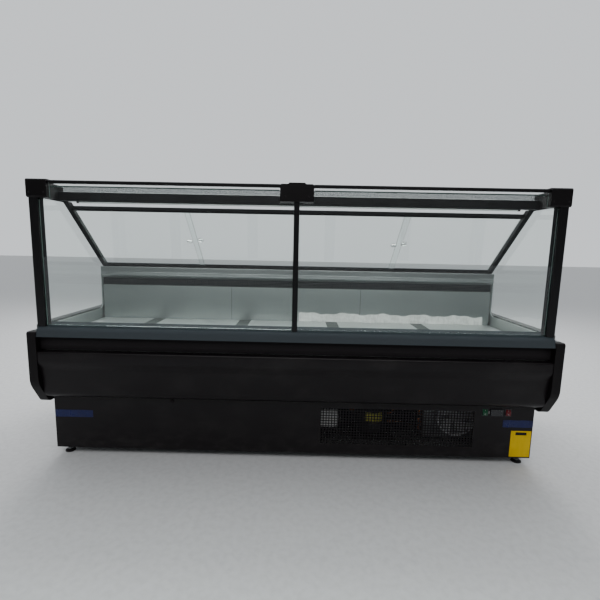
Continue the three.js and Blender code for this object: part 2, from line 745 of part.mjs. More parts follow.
function buildFrontPanes() {
  const panes = new THREE.Group();
  const railHalf = 9;
  const slotHalf = GLASS / 2 + 0.4;
  const { setback, height, slot, foot, head } = HINGE;
  const railBottom = height - foot;
  const railTop = height + head;
  const slotTop = height - slot;
  const rail = [
    [setback - railHalf, railBottom],
    [setback - slotHalf, railBottom],
    [setback - slotHalf, slotTop],
    [setback + slotHalf, slotTop],
    [setback + slotHalf, railBottom],
    [setback + railHalf, railBottom],
    [setback + railHalf, railTop - 4],
    [setback + railHalf - 4, railTop],
    [setback - railHalf + 4, railTop],
    [setback - railHalf, railTop - 4],
  ];
  const railStart = CENTRE.half + 0.5;
  const railEnd = BLOCK.inner - 0.5;
  const pin = (x) => {
    const reach = HINGE.pinLength - 1;
    const profile = [[0, -reach], [HINGE.pinRadius, -reach], [HINGE.pinRadius, reach], [0, reach]];
    return turned(profile, X_AXIS, 20).translate(x, fromFront(setback), height);
  };
  bothEnds((side, sign) => {
    const railRange = endRange(sign, railStart, railEnd);
    const body = alongCase(rail, ...railRange);
    add(panes, `glass_hinge_rail_${side}`, joined(body, ...railRange.map(pin)), FINISH.blackAluminium);
    const { inner, outer, notch, notchHeight, bottom } = PANE;
    const outline = [
      [inner, bottom],
      [outer, bottom],
      [outer, notchHeight],
      [BLOCK.inner - notch, notchHeight],
      [BLOCK.inner - notch, slotTop - GAP],
      [CENTRE.half + notch, slotTop - GAP],
      [CENTRE.half + notch, notchHeight],
      [inner, notchHeight],
    ].map(([x, z]) => [sign * x, z]);
    const pane = facing(outline, setback - GLASS / 2, setback + GLASS / 2);
    add(panes, `front_glass_${side}`, pane, FINISH.glass);
  });
  return panes;
}

// ---- rear doors: four panes in a two-lane track along the slant

// The section of a two-lane track at one end of the slant; direction is +1 for lips that point up it.
function trackSection(base, direction) {
  const { half, wall, fence, floor, lip } = TRACK;
  const lane = half - wall;
  return [
    [0, -half],
    [floor + lip, -half],
    [floor + lip, -lane],
    [floor, -lane],
    [floor, -fence],
    [floor + lip, -fence],
    [floor + lip, fence],
    [floor, fence],
    [floor, lane],
    [floor + lip, lane],
    [floor + lip, half],
    [0, half],
  ].map(([along, across]) => onSlant(base + direction * along, across));
}

function buildRearDoors() {
  const doors = new THREE.Group();
  const trackHalf = MEMBER.inner - GAP;
  const lower = trackSection(-2, 1);
  const upper = trackSection(TRACK.length, -1);
  add(doors, "door_bottom_track", alongCase(lower, -trackHalf, trackHalf), FINISH.blackAluminium);
  add(doors, "door_top_track", alongCase(upper, -trackHalf, trackHalf), FINISH.blackAluminium);
  const { count, overlap, glass, plane, clearance } = DOOR;
  const span = 2 * trackHalf - 2 * clearance;
  const width = (span + overlap * (count - 1)) / count;
  const start = TRACK.floor - 2 + clearance;
  const end = TRACK.length - TRACK.floor - clearance;
  for (let i = 0; i < count; i++) {
    const left = -trackHalf + clearance + i * (width - overlap);
    const across = i % 2 ? plane : -plane;
    const section = [
      onSlant(start, across - glass / 2),
      onSlant(end, across - glass / 2),
      onSlant(end, across + glass / 2),
      onSlant(start, across + glass / 2),
    ];
    add(doors, `rear_door_${i + 1}`, alongCase(section, left, left + width), FINISH.glass);
  }
  return doors;
}

// ---- controls, let into the base panel beside the machine grille

// A rocker about its own centre: two faces that meet in a shallow ridge, and a stem behind them.
function rockerKey() {
  const { half, front, back, nose } = ROCKER;
  const outline = [
    [-nose, half],
    [-front, 0],
    [-nose, -half],
    [back * 0.4, -half + 1],
    [back, 0],
    [back * 0.4, half - 1],
  ];
  return alongCase(outline, -ROCKER.width / 2, ROCKER.width / 2).translate(0, -fromFront(0), 0);
}

function temperatureController() {
  const { width, height, bezel, body, bodyHeight, bodyDepth } = DISPLAY;
  const face = BASE.front - GAP;
  const around = (wide, tall) =>
    rectangle(
      CONTROL.display - wide / 2,
      CONTROL.height - tall / 2,
      CONTROL.display + wide / 2,
      CONTROL.height + tall / 2,
    );
  const bezelPlate = facing(around(width, height), face - bezel, face);
  const housing = facing(around(body, bodyHeight), face - 1, face + bodyDepth);
  const pockets = BUTTON.heights.map((z) => {
    const wide = BUTTON.width / 2 + BUTTON.clearance;
    const tall = BUTTON.height / 2 + BUTTON.clearance;
    const range = [BUTTON.x - wide, BUTTON.x + wide];
    return block(range, [face - bezel - 1, face - bezel + BUTTON.depth + 1], [z - tall, z + tall]);
  });
  return cutFrom(joined(bezelPlate, housing), ...pockets);
}

function buildControls() {
  const controls = new THREE.Group();
  add(controls, "temperature_controller", temperatureController(), FINISH.displayPlastic);
  ["down", "up"].forEach((label, i) => {
    const front = BASE.front - GAP - DISPLAY.bezel - 1;
    const range = [BUTTON.x - BUTTON.width / 2, BUTTON.x + BUTTON.width / 2];
    const z = BUTTON.heights[i];
    const heights = [z - BUTTON.height / 2, z + BUTTON.height / 2];
    const key = block(range, [front, front + BUTTON.depth], heights);
    add(controls, `button_${label}`, key, FINISH.displayPlastic);
  });
  const rockers = { green: FINISH.greenRocker, red: FINISH.redRocker };
  for (const [colour, material] of Object.entries(rockers)) {
    const rocker = add(controls, `rocker_switch_${colour}`, rockerKey(), material);
    rocker.position.set(CONTROL[colour], fromFront(BASE.front), CONTROL.height);
    rocker.rotation.x = THREE.MathUtils.degToRad(-ROCKER.tilt); // at rest each is pressed at one end
  }
  return controls;
}

deliCase.add(buildBase(), buildMachinery(), buildTub(), buildFront(), buildWell());
bothEnds((side, sign) => add(deliCase, `end_panel_${side}`, endPanel(sign), FINISH.blackMoulding));
deliCase.add(buildSuperstructure(), buildFrontPanes(), buildRearDoors(), buildControls());

export default deliCase;
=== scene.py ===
"""The looks of a refrigerated deli case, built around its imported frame.

Metres, +Z up, +X along the case to the customer's right, +Y from the customer to the server. Every place comes from
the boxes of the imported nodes. Each sub-assembly is a class whose fields are its own sizes, and whose methods make its
surfaces with numpy and give them their finishes.
"""

import logging
import math
from abc import ABC, abstractmethod
from collections.abc import Iterable, Sequence
from dataclasses import dataclass, replace
from enum import Enum
from functools import cache

import bmesh
import bpy
import numpy as np
import numpy.typing as npt
from mathutils import Matrix, Vector


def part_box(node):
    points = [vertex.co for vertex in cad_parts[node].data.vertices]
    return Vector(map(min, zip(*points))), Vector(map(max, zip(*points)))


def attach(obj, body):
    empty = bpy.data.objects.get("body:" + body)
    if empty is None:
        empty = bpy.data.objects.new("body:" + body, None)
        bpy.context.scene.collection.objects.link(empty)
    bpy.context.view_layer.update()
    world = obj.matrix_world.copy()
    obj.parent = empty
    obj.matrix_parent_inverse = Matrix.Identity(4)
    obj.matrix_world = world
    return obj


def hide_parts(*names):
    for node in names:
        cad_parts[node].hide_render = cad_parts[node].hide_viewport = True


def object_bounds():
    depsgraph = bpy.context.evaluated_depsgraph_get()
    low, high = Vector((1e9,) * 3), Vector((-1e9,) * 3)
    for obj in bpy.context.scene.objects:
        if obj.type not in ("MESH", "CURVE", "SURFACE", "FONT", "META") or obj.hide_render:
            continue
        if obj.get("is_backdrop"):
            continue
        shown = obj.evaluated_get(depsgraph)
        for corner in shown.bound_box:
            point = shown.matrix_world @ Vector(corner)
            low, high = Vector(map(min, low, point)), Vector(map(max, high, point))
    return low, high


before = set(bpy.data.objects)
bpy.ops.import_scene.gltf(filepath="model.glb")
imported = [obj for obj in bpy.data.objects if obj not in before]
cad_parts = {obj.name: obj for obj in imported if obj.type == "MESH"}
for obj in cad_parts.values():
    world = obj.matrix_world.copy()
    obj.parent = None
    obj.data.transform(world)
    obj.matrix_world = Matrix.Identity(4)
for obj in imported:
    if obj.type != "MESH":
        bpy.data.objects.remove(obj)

LOG = logging.getLogger("deli_case")
Floats = npt.NDArray[np.float64]
Ints = npt.NDArray[np.int64]
Trio = tuple[float, float, float]
Colour = Trio
Span = tuple[float, float]
Point = Sequence[float]
Points = Sequence[Point]
Socket = bpy.types.NodeSocket
WELD = 1e-6  # points closer than this are one point
SHARP = math.radians(35)  # faces that meet at more than this keep a crisp edge
FLAT = math.radians(0.5)  # faces that meet at less than this are one flat


# ---- names


class Body(Enum):
    """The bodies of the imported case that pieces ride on."""

    CASE = "case"
    PANE_LEFT = "front_pane_left"
    PANE_RIGHT = "front_pane_right"
    DOOR_1 = "door_1"
    DOOR_2 = "door_2"
    DOOR_3 = "door_3"
    DOOR_4 = "door_4"
    CONDENSER_FAN = "condenser_fan"
    EVAPORATOR_FAN_LEFT = "evaporator_fan_left"
    EVAPORATOR_FAN_RIGHT = "evaporator_fan_right"
    ROCKER_GREEN = "rocker_green"
    ROCKER_RED = "rocker_red"
    BUTTON_DOWN = "button_down"
    BUTTON_UP = "button_up"


class Side(Enum):
    """An end of the case, with the sign of X there."""

    LEFT = -1
    RIGHT = 1

    @property
    def word(self) -> str:
        """The side as it stands in node names."""
        return self.name.lower()


class Axis(Enum):
    """A direction of the case, as a unit vector."""

    X = (1.0, 0.0, 0.0)
    Y = (0.0, 1.0, 0.0)
    Z = (0.0, 0.0, 1.0)


@dataclass(frozen=True)
class Box:
    """A range along each axis, in metres."""

    x0: float
    y0: float
    z0: float
    x1: float
    y1: float
    z1: float

    @classmethod
    def of(cls, node: str) -> "Box":
        """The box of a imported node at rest."""
        low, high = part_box(node)
        return cls(low.x, low.y, low.z, high.x, high.y, high.z)

    def but(self, **ends: float) -> "Box":
        """The box with some of its ends elsewhere."""
        return replace(self, **ends)

    @property
    def centre(self) -> Floats:
        """The middle of the box."""
        return np.array([self.x0 + self.x1, self.y0 + self.y1, self.z0 + self.z1]) / 2

    @property
    def size(self) -> Floats:
        """The box's length along each axis."""
        return np.array([self.x1 - self.x0, self.y1 - self.y0, self.z1 - self.z0])


# ---- surfaces


@dataclass(frozen=True)
class Surface:
    """Points and faces of a shape, in metres, in the case's frame.

    Args:
        points: One row of x, y, z for each point.
        faces: Arrays of point numbers, one row for each face; each array holds faces of one corner count.
    """

    points: Floats
    faces: tuple[Ints, ...]

    @classmethod
    def join(cls, parts: Iterable["Surface"]) -> "Surface":
        """One surface of several, each keeping its own points.

        Args:
            parts: The surfaces.

        Returns:
            The joined surface.
        """
        pieces = list(parts)
        starts = np.cumsum([0] + [len(p.points) for p in pieces])
        faces = tuple(f + start for p, start in zip(pieces, starts) for f in p.faces)
        return cls(np.concatenate([p.points for p in pieces]), faces)

    def moved(self, offset: Point) -> "Surface":
        """The surface moved by an offset."""
        return Surface(self.points + np.asarray(offset, float), self.faces)

    def mirrored(self) -> "Surface":
        """The surface reflected in the plane x = 0, with its faces turned to keep pointing outwards."""
        return Surface(self.points * [-1, 1, 1], tuple(f[:, ::-1] for f in self.faces))

    def on(self, side: Side) -> "Surface":
        """A surface made for the right end, as it is there or mirrored to the left."""
        return self if side is Side.RIGHT else self.mirrored()

    def turned(self, angle: float, axis: Axis, pivot: Point = (0, 0, 0)) -> "Surface":
        """The surface turned about an axis through a pivot, by the right-hand rule, in radians."""
        matrix = np.array(Matrix.Rotation(angle, 3, Vector(axis.value)))
        centre = np.asarray(pivot, float)
        return Surface((self.points - centre) @ matrix.T + centre, self.faces)


def grid_faces(rows: int, columns: int, wrap_rows: bool = False, wrap_columns: bool = False) -> Ints:
    """The quads of a grid of points stored row by row.

    Args:
        rows: Number of rows of points.
        columns: Number of points in a row.
        wrap_rows: True if the last row joins the first.
        wrap_columns: True if each row's last point joins its first.

    Returns:
        An array of four point numbers for each quad.
    """
    i, j = np.meshgrid(
        np.arange(rows if wrap_rows else rows - 1),
        np.arange(columns if wrap_columns else columns - 1),
        indexing="ij",
    )
    below, beside = (i + 1) % rows, (j + 1) % columns
    corners = [i * columns + j, i * columns + beside, below * columns + beside, below * columns + j]
    return np.stack(corners, -1).reshape(-1, 4)


def around(steps: int) -> Floats:
    """Even angles once round, in radians."""
    return np.linspace(0, 2 * np.pi, steps, endpoint=False)


def loft(rings: Floats, capped: bool = True) -> Surface:
    """A skin over closed rings of equally many points: point(i, j) is point j of ring i.

    Args:
        rings: An array of rings, points and coordinates.
        capped: True to close the first and last ring with one face each.

    Returns:
        The skin, with its side faces first and its caps after them.
    """
    count, around = rings.shape[:2]
    faces = [grid_faces(count, around, wrap_columns=True)]
    if capped:
        first = np.arange(around)[::-1]
        faces.append(np.stack([first, np.arange(around) + (count - 1) * around]))
    return Surface(rings.reshape(-1, 3), tuple(faces))


def rounded(corners: Points, steps: int = 4) -> Floats:
    """A closed outline with its corners rounded.

    Near a corner P whose neighbours lie in the unit directions a and b, the outline is the parabola
    P + r (1 - s)^2 a + r s^2 b for s from 0 to 1, where r is that corner's radius.

    Args:
        corners: One row of u, v and radius for each corner.
        steps: Straight pieces in each rounded corner.

    Returns:
        The outline's points as rows of u, v, without repeats.
    """
    data = np.asarray(corners, float)
    p, r = data[:, :2], data[:, 2:3]
    before, after = np.roll(p, 1, 0) - p, np.roll(p, -1, 0) - p
    before /= np.linalg.norm(before, axis=1, keepdims=True)
    after /= np.linalg.norm(after, axis=1, keepdims=True)
    s = np.linspace(0, 1, steps + 1)[None, :, None]
    arcs = p[:, None] + r[:, None] * ((1 - s) ** 2 * before[:, None] + s**2 * after[:, None])
    outline = arcs.reshape(-1, 2)
    step = np.linalg.norm(outline - np.roll(outline, 1, 0), axis=1)
    return outline[step > WELD]


def folded(path: Floats, thickness: float) -> Floats:
    """The closed outline of a sheet folded along a path: the path, then the path moved to its left, backwards.

    Each point moves along the mean m of the normals of the two stretches that meet there, by thickness / (m . n).

    Args:
        path: Rows of u, v along the outer face.
        thickness: The sheet's thickness.

    Returns:
        The outline's points as rows of u, v.
    """
    steps = np.diff(path, axis=0)
    steps /= np.linalg.norm(steps, axis=1, keepdims=True)
    normals = np.stack([-steps[:, 1], steps[:, 0]], 1)
    first, second = np.vstack([normals[:1], normals]), np.vstack([normals, normals[-1:]])
    mean = first + second
    mean /= np.linalg.norm(mean, axis=1, keepdims=True)
    shift = mean * (thickness / np.sum(mean * first, axis=1, keepdims=True))
    return np.vstack([path, (path + shift)[::-1]])


def carried(profile: Floats, axis: int, start: Floats | float, end: Floats | float) -> Surface:
    """A closed profile carried along an axis of the case, capped at both ends.

    Args:
        profile: Rows of the other two coordinates.
        axis: The axis as a column number, 0 to 2.
        start: Where it starts, as one place or one for each point.
        end: Where it ends, likewise.

    Returns:
        The closed surface.
    """
    return loft(np.stack([np.insert(profile, axis, place, axis=1) for place in (start, end)]))


def along_case(profile: Floats, x0: float, x1: float) -> Surface:
    """A closed profile of (y, z) points carried from x0 to x1."""
    return carried(profile, 0, x0, x1)


def backwards(profile: Floats, y0: float, y1: float) -> Surface:
    """A closed profile of (x, z) points carried back from y0 to y1."""
    return carried(profile, 1, y0, y1)


def upwards(profile: Floats, bottom: Floats | float, top: Floats | float) -> Surface:
    """A closed profile of (x, y) points carried up from a bottom to a top height."""
    return carried(profile, 2, bottom, top)


def rectangle(u0: float, v0: float, u1: float, v1: float, radius: float = 0.0, steps: int = 4) -> Floats:
    """A rectangle's outline, with its corners rounded to a radius."""
    return rounded([(u0, v0, radius), (u1, v0, radius), (u1, v1, radius), (u0, v1, radius)], steps)


def block(box: Box) -> Surface:
    """The solid box as a surface."""
    return along_case(rectangle(box.y0, box.z0, box.y1, box.z1), box.x0, box.x1)


def turned_profile(profile: Points, centre: Point, axis: Axis, steps: int = 32) -> Surface:
    """A profile turned about an axis: point(i, j) = centre + h_i axis + r_i (cos t_j p + sin t_j q).

    Args:
        profile: Rows of radius r and distance h along the axis.
        centre: The point on the axis where h is 0.
        axis: The direction of the axis; p and q are the other two directions of the case.
        steps: Points around.

    Returns:
        The turned surface, closed at both ends.
    """
    direction = np.array(axis.value)
    first = np.roll(direction, 1)
    second = np.cross(direction, first)
    angle = around(steps)
    circle = np.cos(angle)[:, None] * first + np.sin(angle)[:, None] * second
    data = np.asarray(profile, float)
    rings = data[:, 0, None, None] * circle[None] + data[:, 1, None, None] * direction
    return loft(rings + np.asarray(centre, float))


def piped(path: Points, radius: float, sides: int = 10, smoothing: int = 3) -> Surface:
    """A round pipe along a path whose corners are cut twice or more to smooth them.

    Corner cutting puts points a quarter and three quarters along each stretch. The section at each point is
    radius (cos t u + sin t v), where u and v are square to the path's direction and to each other.

    Args:
        path: Rows of x, y, z.
        radius: The pipe's radius.
        sides: Points around.
        smoothing: How many times the corners are cut.

    Returns:
        The pipe, closed at both ends.
    """
    line = np.asarray(path, float)
    for _ in range(smoothing):
        quarter = 0.75 * line[:-1] + 0.25 * line[1:]
        most = 0.25 * line[:-1] + 0.75 * line[1:]
        line = np.vstack([line[:1], np.stack([quarter, most], 1).reshape(-1, 3), line[-1:]])
    tangent = np.gradient(line, axis=0)
    tangent /= np.linalg.norm(tangent, axis=1, keepdims=True)
    reference = np.array([0.31, 0.22, 0.92])
    across = np.cross(tangent, reference)
    across /= np.linalg.norm(across, axis=1, keepdims=True)
    other = np.cross(tangent, across)
    angle = around(sides)[None, :, None]
    return loft(line[:, None] + radius * (np.cos(angle) * across[:, None] + np.sin(angle) * other[:, None]))


def thickened(sheet: Surface, offset: Floats) -> Surface:
    """An open sheet given a thickness: its points, the same points moved by an offset, and a wall along each free edge.

    A free edge is one that only one face uses.

    Args:
        sheet: The open sheet.
        offset: One offset for all points, or one row for each.

    Returns:
        The closed surface.
    """
    count = len(sheet.points)
    edges = np.concatenate([np.stack([f, np.roll(f, -1, 1)], -1).reshape(-1, 2) for f in sheet.faces])
    forward, backward = edges[:, 0] * count + edges[:, 1], edges[:, 1] * count + edges[:, 0]
    free = edges[~np.isin(forward, backward)]
    wall = np.stack([free[:, 1], free[:, 0], free[:, 0] + count, free[:, 1] + count], -1)
    turned = tuple(f[:, ::-1] + count for f in sheet.faces)
    return Surface(np.vstack([sheet.points, sheet.points + offset]), (*sheet.faces, *turned, wall))


def pierced(outline: Box, openings: Floats) -> Surface:
    """A flat upright sheet facing the customer, on an uneven grid whose quads are left out inside each opening.

    Args:
        outline: The sheet's box; its thickness is the box's length along Y.
        openings: One row of x0, z0, x1, z1 for each opening.

    Returns:
        The closed sheet.
    """
    xs = np.unique(np.round(np.concatenate([[outline.x0, outline.x1], openings[:, 0], openings[:, 2]]), 6))
    zs = np.unique(np.round(np.concatenate([[outline.z0, outline.z1], openings[:, 1], openings[:, 3]]), 6))
    x, z = np.meshgrid(xs, zs)
    points = np.stack([x, np.full_like(x, outline.y0), z], -1).reshape(-1, 3)
    quads = grid_faces(len(zs), len(xs))
    middle = points[quads].mean(1)
    inside = (
        (middle[:, None, 0] > openings[:, 0])
        & (middle[:, None, 0] < openings[:, 2])
        & (middle[:, None, 2] > openings[:, 1])
        & (middle[:, None, 2] < openings[:, 3])
    ).any(1)
    return thickened(Surface(points, (quads[~inside],)), np.array([0, outline.y1 - outline.y0, 0]))


def opening_grid(x: Span, z: Span, count: tuple[int, int], bar: Span) -> Floats:
    """Even openings over a field.

    Args:
        x: The field's range along X.
        z: The field's range along Z.
        count: Openings along X and along Z.
        bar: Widths of the bars between columns and between rows.

    Returns:
        One row of x0, z0, x1, z1 for each opening.
    """
    pitch_x, pitch_z = (x[1] - x[0] + bar[0]) / count[0], (z[1] - z[0] + bar[1]) / count[1]
    left, low = np.meshgrid(x[0] + pitch_x * np.arange(count[0]), z[0] + pitch_z * np.arange(count[1]))
    corners = [left, low, left + pitch_x - bar[0], low + pitch_z - bar[1]]
    return np.stack(corners, -1).reshape(-1, 4)


# ---- shader sheets


class Value:
    """A number that varies over a surface. Each operator adds one Math node."""

    def __init__(self, sheet: "ShaderSheet", socket: Socket) -> None:
        """Wraps an output socket of a sheet."""
        self.sheet = sheet
        self.socket = socket

    def _math(self, operation: str, first: "Value | float", second: "Value | float") -> "Value":
        """One Math node on two operands."""
        node = self.sheet.node("ShaderNodeMath", {"operation": operation}, {0: first, 1: second})
        return Value(self.sheet, node.outputs[0])

    def __add__(self, other: "Value | float") -> "Value":
        """self + other."""
        return self._math("ADD", self, other)

    __radd__ = __add__

    def __sub__(self, other: "Value | float") -> "Value":
        """self - other."""
        return self._math("SUBTRACT", self, other)

    def __rsub__(self, other: float) -> "Value":
        """other - self."""
        return self._math("SUBTRACT", other, self)

    def __mul__(self, other: "Value | float") -> "Value":
        """self * other."""
        return self._math("MULTIPLY", self, other)

    __rmul__ = __mul__

    def largest(self, other: "Value | float") -> "Value":
        """The larger of the two."""
        return self._math("MAXIMUM", self, other)

    def eased(self, low: float, high: float) -> "Value":
        """0 at low, 1 at high and a smooth step between; low may be the larger."""
        settings = {"interpolation_type": "SMOOTHSTEP"}
        inputs = {"Value": self, "From Min": low, "From Max": high, "To Min": 0.0, "To Max": 1.0}
        return Value(self.sheet, self.sheet.node("ShaderNodeMapRange", settings, inputs).outputs[0])


class ShaderSheet:
    """A material or world in the making, with one method that adds any node."""

    def __init__(self, tree: bpy.types.NodeTree) -> None:
        """Starts on an emptied node tree."""
        self.tree = tree
        tree.nodes.clear()

    def node(self, kind: str, settings: dict | None = None, inputs: dict | None = None) -> bpy.types.Node:
        """Adds a node.

        Args:
            kind: The node's type name.
            settings: Properties that are set first, such as a Math node's operation.
            inputs: Values or links by socket name or number.

        Returns:
            The node.
        """
        made = self.tree.nodes.new(kind)
        for key, value in (settings or {}).items():
            setattr(made, key, value)
        for key, value in (inputs or {}).items():
            self.feed(made.inputs[key], value)
        return made

    def feed(self, socket: Socket, value: object) -> None:
        """Links or sets one input socket.

        Args:
            socket: The input.
            value: A link, a colour or a number.
        """
        if isinstance(value, Value):
            self.tree.links.new(value.socket, socket)
        elif isinstance(value, Socket):
            self.tree.links.new(value, socket)
        elif isinstance(value, tuple) and len(value) == 3 and socket.type == "RGBA":
            socket.default_value = (*value, 1.0)
        else:
            socket.default_value = value

    def place(self, stretch: Point = (1, 1, 1)) -> Socket:
        """Places on the piece in metres, stretched along each axis.

        Args:
            stretch: Cells a metre along each axis.

        Returns:
            The coordinates.
        """
        where = self.node("ShaderNodeTexCoord").outputs["Object"]
        if tuple(stretch) == (1, 1, 1):
            return where
        return self.node("ShaderNodeMapping", {}, {"Vector": where, "Scale": tuple(stretch)}).outputs[0]

    def height(self) -> Value:
        """Height above the floor in metres."""
        split = self.node("ShaderNodeSeparateXYZ", {}, {0: self.place()})
        return Value(self, split.outputs["Z"])

    def noise(self, scale: float, detail: float = 3, stretch: Point = (1, 1, 1), rough: float = 0.5) -> Value:
        """Smooth noise from 0 to 1; scale is in cells a metre before the stretch."""
        inputs = {"Vector": self.place(stretch), "Scale": scale, "Detail": detail, "Roughness": rough}
        return Value(self, self.node("ShaderNodeTexNoise", {}, inputs).outputs["Fac"])

    def cells(self, scale: float, stretch: Point = (1, 1, 1), feature: str = "F1") -> Value:
        """Distance within cells of a given number a metre."""
        inputs = {"Vector": self.place(stretch), "Scale": scale}
        return Value(self, self.node("ShaderNodeTexVoronoi", {"feature": feature}, inputs).outputs["Distance"])

    def blend(self, factor: Value | float, first: object, second: object) -> Socket:
        """A colour between two.

        Args:
            factor: Share of the second colour.
            first: A colour or a link.
            second: A colour or a link.

        Returns:
            The mixed colour.
        """
        mix = self.node("ShaderNodeMix", {"data_type": "RGBA"}, {"Factor": factor})
        for socket, colour in zip([s for s in mix.inputs if s.type == "RGBA"], (first, second)):
            self.feed(socket, colour)
        return next(s for s in mix.outputs if s.type == "RGBA")

    def bump(self, height: Value, depth: float, strength: float = 1.0, under: object = None) -> Socket:
        """A normal from a height; depth is the relief in metres for a height of 1.

        Args:
            height: The relief, from 0 to 1.
            depth: Its depth in metres.
            strength: How much of it shows.
            under: A normal that it lies on.

        Returns:
            The normal.
        """
        inputs = {"Height": height, "Distance": depth, "Strength": strength}
        if under is not None:
            inputs["Normal"] = under
        return self.node("ShaderNodeBump", {}, inputs).outputs[0]

    def shader(self, **sockets: object) -> Socket:
        """A Principled shader; socket names have _ for spaces."""
        inputs = {name.replace("_", " "): value for name, value in sockets.items()}
        return self.node("ShaderNodeBsdfPrincipled", {}, inputs).outputs[0]

    def finish(self, shader: Socket, output: str = "ShaderNodeOutputMaterial") -> None:
        """Links the last shader to the output."""
        self.node(output, {}, {"Surface": shader})


# ---- finishes


@dataclass(frozen=True)
class Finish(ABC):
    """A surface finish. The same finish always gives the same material."""

    name: str

    @abstractmethod
    def paint(self, sheet: ShaderSheet) -> Socket:
        """Draws the finish's nodes and returns its last shader."""

    @cache
    def material(self) -> bpy.types.Material:
        """The finish as a material, made the first time that it is asked for.

        Returns:
            The material.
        """
        made = bpy.data.materials.new(self.name)
        made.use_nodes = True
        sheet = ShaderSheet(made.node_tree)
        sheet.finish(self.paint(sheet))
        return made


@dataclass(frozen=True)
class PaintedSteel(Finish):
    """Satin powder coat: orange peel, cloudy handling marks and dust that thickens towards the floor."""

    colour: Colour = (0.0050, 0.0034, 0.0043)
    roughness: float = 0.34
    dust: Colour = (0.030, 0.028, 0.027)
    dust_top: float = 0.20

    def paint(self, sheet: ShaderSheet) -> Socket:
        """Dust lies under the dust line, broken up by noise, and dulls the coat.

        Args:
            sheet: Where its nodes go.

        Returns:
            The shader.
        """
        peel = sheet.noise(520, 2)
        marks = sheet.noise(5, 5, (1, 1, 1.6), 0.62)
        wipes = sheet.noise(2.3, 4, (0.5, 3, 3))
        low = sheet.height().eased(self.dust_top, 0.0)
        dust = low * sheet.noise(16, 6, (1, 1, 2), 0.6).eased(0.42, 0.74) * 0.5
        colour = sheet.blend(dust, sheet.blend(marks.eased(0.45, 0.8) * 0.3, self.colour, self.dust), self.dust)
        rough = self.roughness + (marks - 0.5) * 0.16 + (wipes - 0.5) * 0.12 + dust * 0.3
        normal = sheet.bump(peel, 0.00009)
        return sheet.shader(Base_Color=colour, Roughness=rough, Normal=normal, Specular_IOR_Level=0.22)


@dataclass(frozen=True)
class Moulding(Finish):
    """Moulded plastic with a fine spark-eroded grain and worn, slightly polished patches."""

    colour: Colour = (0.0048, 0.0038, 0.0043)
    roughness: float = 0.42
    grain: float = 900.0
    depth: float = 0.00006
    shine: float = 0.3

    def paint(self, sheet: ShaderSheet) -> Socket:
        """The grain is relief only; the patches change the gloss.

        Args:
            sheet: Where its nodes go.

        Returns:
            The shader.
        """
        grain = sheet.cells(self.grain) + sheet.noise(self.grain * 1.7, 2) * 0.6
        patch = sheet.noise(4.2, 5, (1, 1, 1), 0.6)
        lighter = tuple(min(1.0, c * 1.9 + 0.002) for c in self.colour)
        colour = sheet.blend(patch.eased(0.35, 0.75) * 0.5, self.colour, lighter)
        rough = self.roughness + (patch - 0.5) * 0.2
        normal = sheet.bump(grain, self.depth)
        return sheet.shader(Base_Color=colour, Roughness=rough, Normal=normal, Specular_IOR_Level=self.shine)


@dataclass(frozen=True)
class Lacquer(Finish):
    """Smooth dark sheet with wiping marks, a few specks of dust and a darker level top painted as shade, in any gloss;
    its default colour paints a sheen of the sky on the sill's nose.
    """

    # colour: a teal that paints the sky's sheen on the sill's nose; top: a darker colour painted as shade on the level
    # top above the shoulder
    colour: Colour = (0.048, 0.057, 0.064)
    roughness: float = 0.5
    shine: float = 0.0
    top: Colour = (0.024, 0.030, 0.0335)
    shoulder: Span = (0.662, 0.669)

    def paint(self, sheet: ShaderSheet) -> Socket:
        """Wiping marks run along the case, dust is sparse, and above the shoulder the darker top colour takes over as
        painted shade; below it the teal colour paints the nose's sheen.

        Args:
            sheet: Where its nodes go.

        Returns:
            The shader.
        """
        wipes = sheet.noise(7, 5, (0.35, 2.2, 2.2), 0.6)
        specks = sheet.cells(260).eased(0.09, 0.03) * sheet.noise(9, 3).eased(0.45, 0.7)
        # painted sheen below the shoulder, painted shade on the level top above it
        body = sheet.blend(sheet.height().eased(*self.shoulder), self.colour, self.top)
        colour = sheet.blend(specks * 0.35, body, (0.20, 0.20, 0.19))
        rough = self.roughness + wipes.eased(0.4, 0.8) * 0.10 + specks * 0.3
        wave = sheet.bump(sheet.noise(3.2, 2, (0.5, 1, 1)), 0.0003)
        return sheet.shader(Base_Color=colour, Roughness=rough, Normal=wave, Specular_IOR_Level=self.shine)


@dataclass(frozen=True)
class Anodised(Finish):
    """Black anodised aluminium with fine extrusion lines along one axis."""

    along: Axis = Axis.X
    colour: Colour = (0.0048, 0.0046, 0.0052)
    roughness: float = 0.30
    shine: float = 0.3
    metal: float = 0.2

    def paint(self, sheet: ShaderSheet) -> Socket:
        """Lines are noise stretched along the extrusion.

        Args:
            sheet: Where its nodes go.

        Returns:
            The shader.
        """
        stretch = tuple(0.012 if a else 1.0 for a in self.along.value)
        lines = sheet.noise(820, 3, stretch)
        marks = sheet.noise(8, 4)
        lighter = tuple(min(1.0, c * 1.6 + 0.006) for c in self.colour)
        colour = sheet.blend(lines.eased(0.35, 0.8) * 0.45, self.colour, lighter)
        rough = self.roughness + (lines - 0.5) * 0.12 + (marks - 0.5) * 0.12
        fine = sheet.bump(lines, 0.00003)
        return sheet.shader(
            Base_Color=colour, Roughness=rough, Metallic=self.metal, Normal=fine, Specular_IOR_Level=self.shine
        )


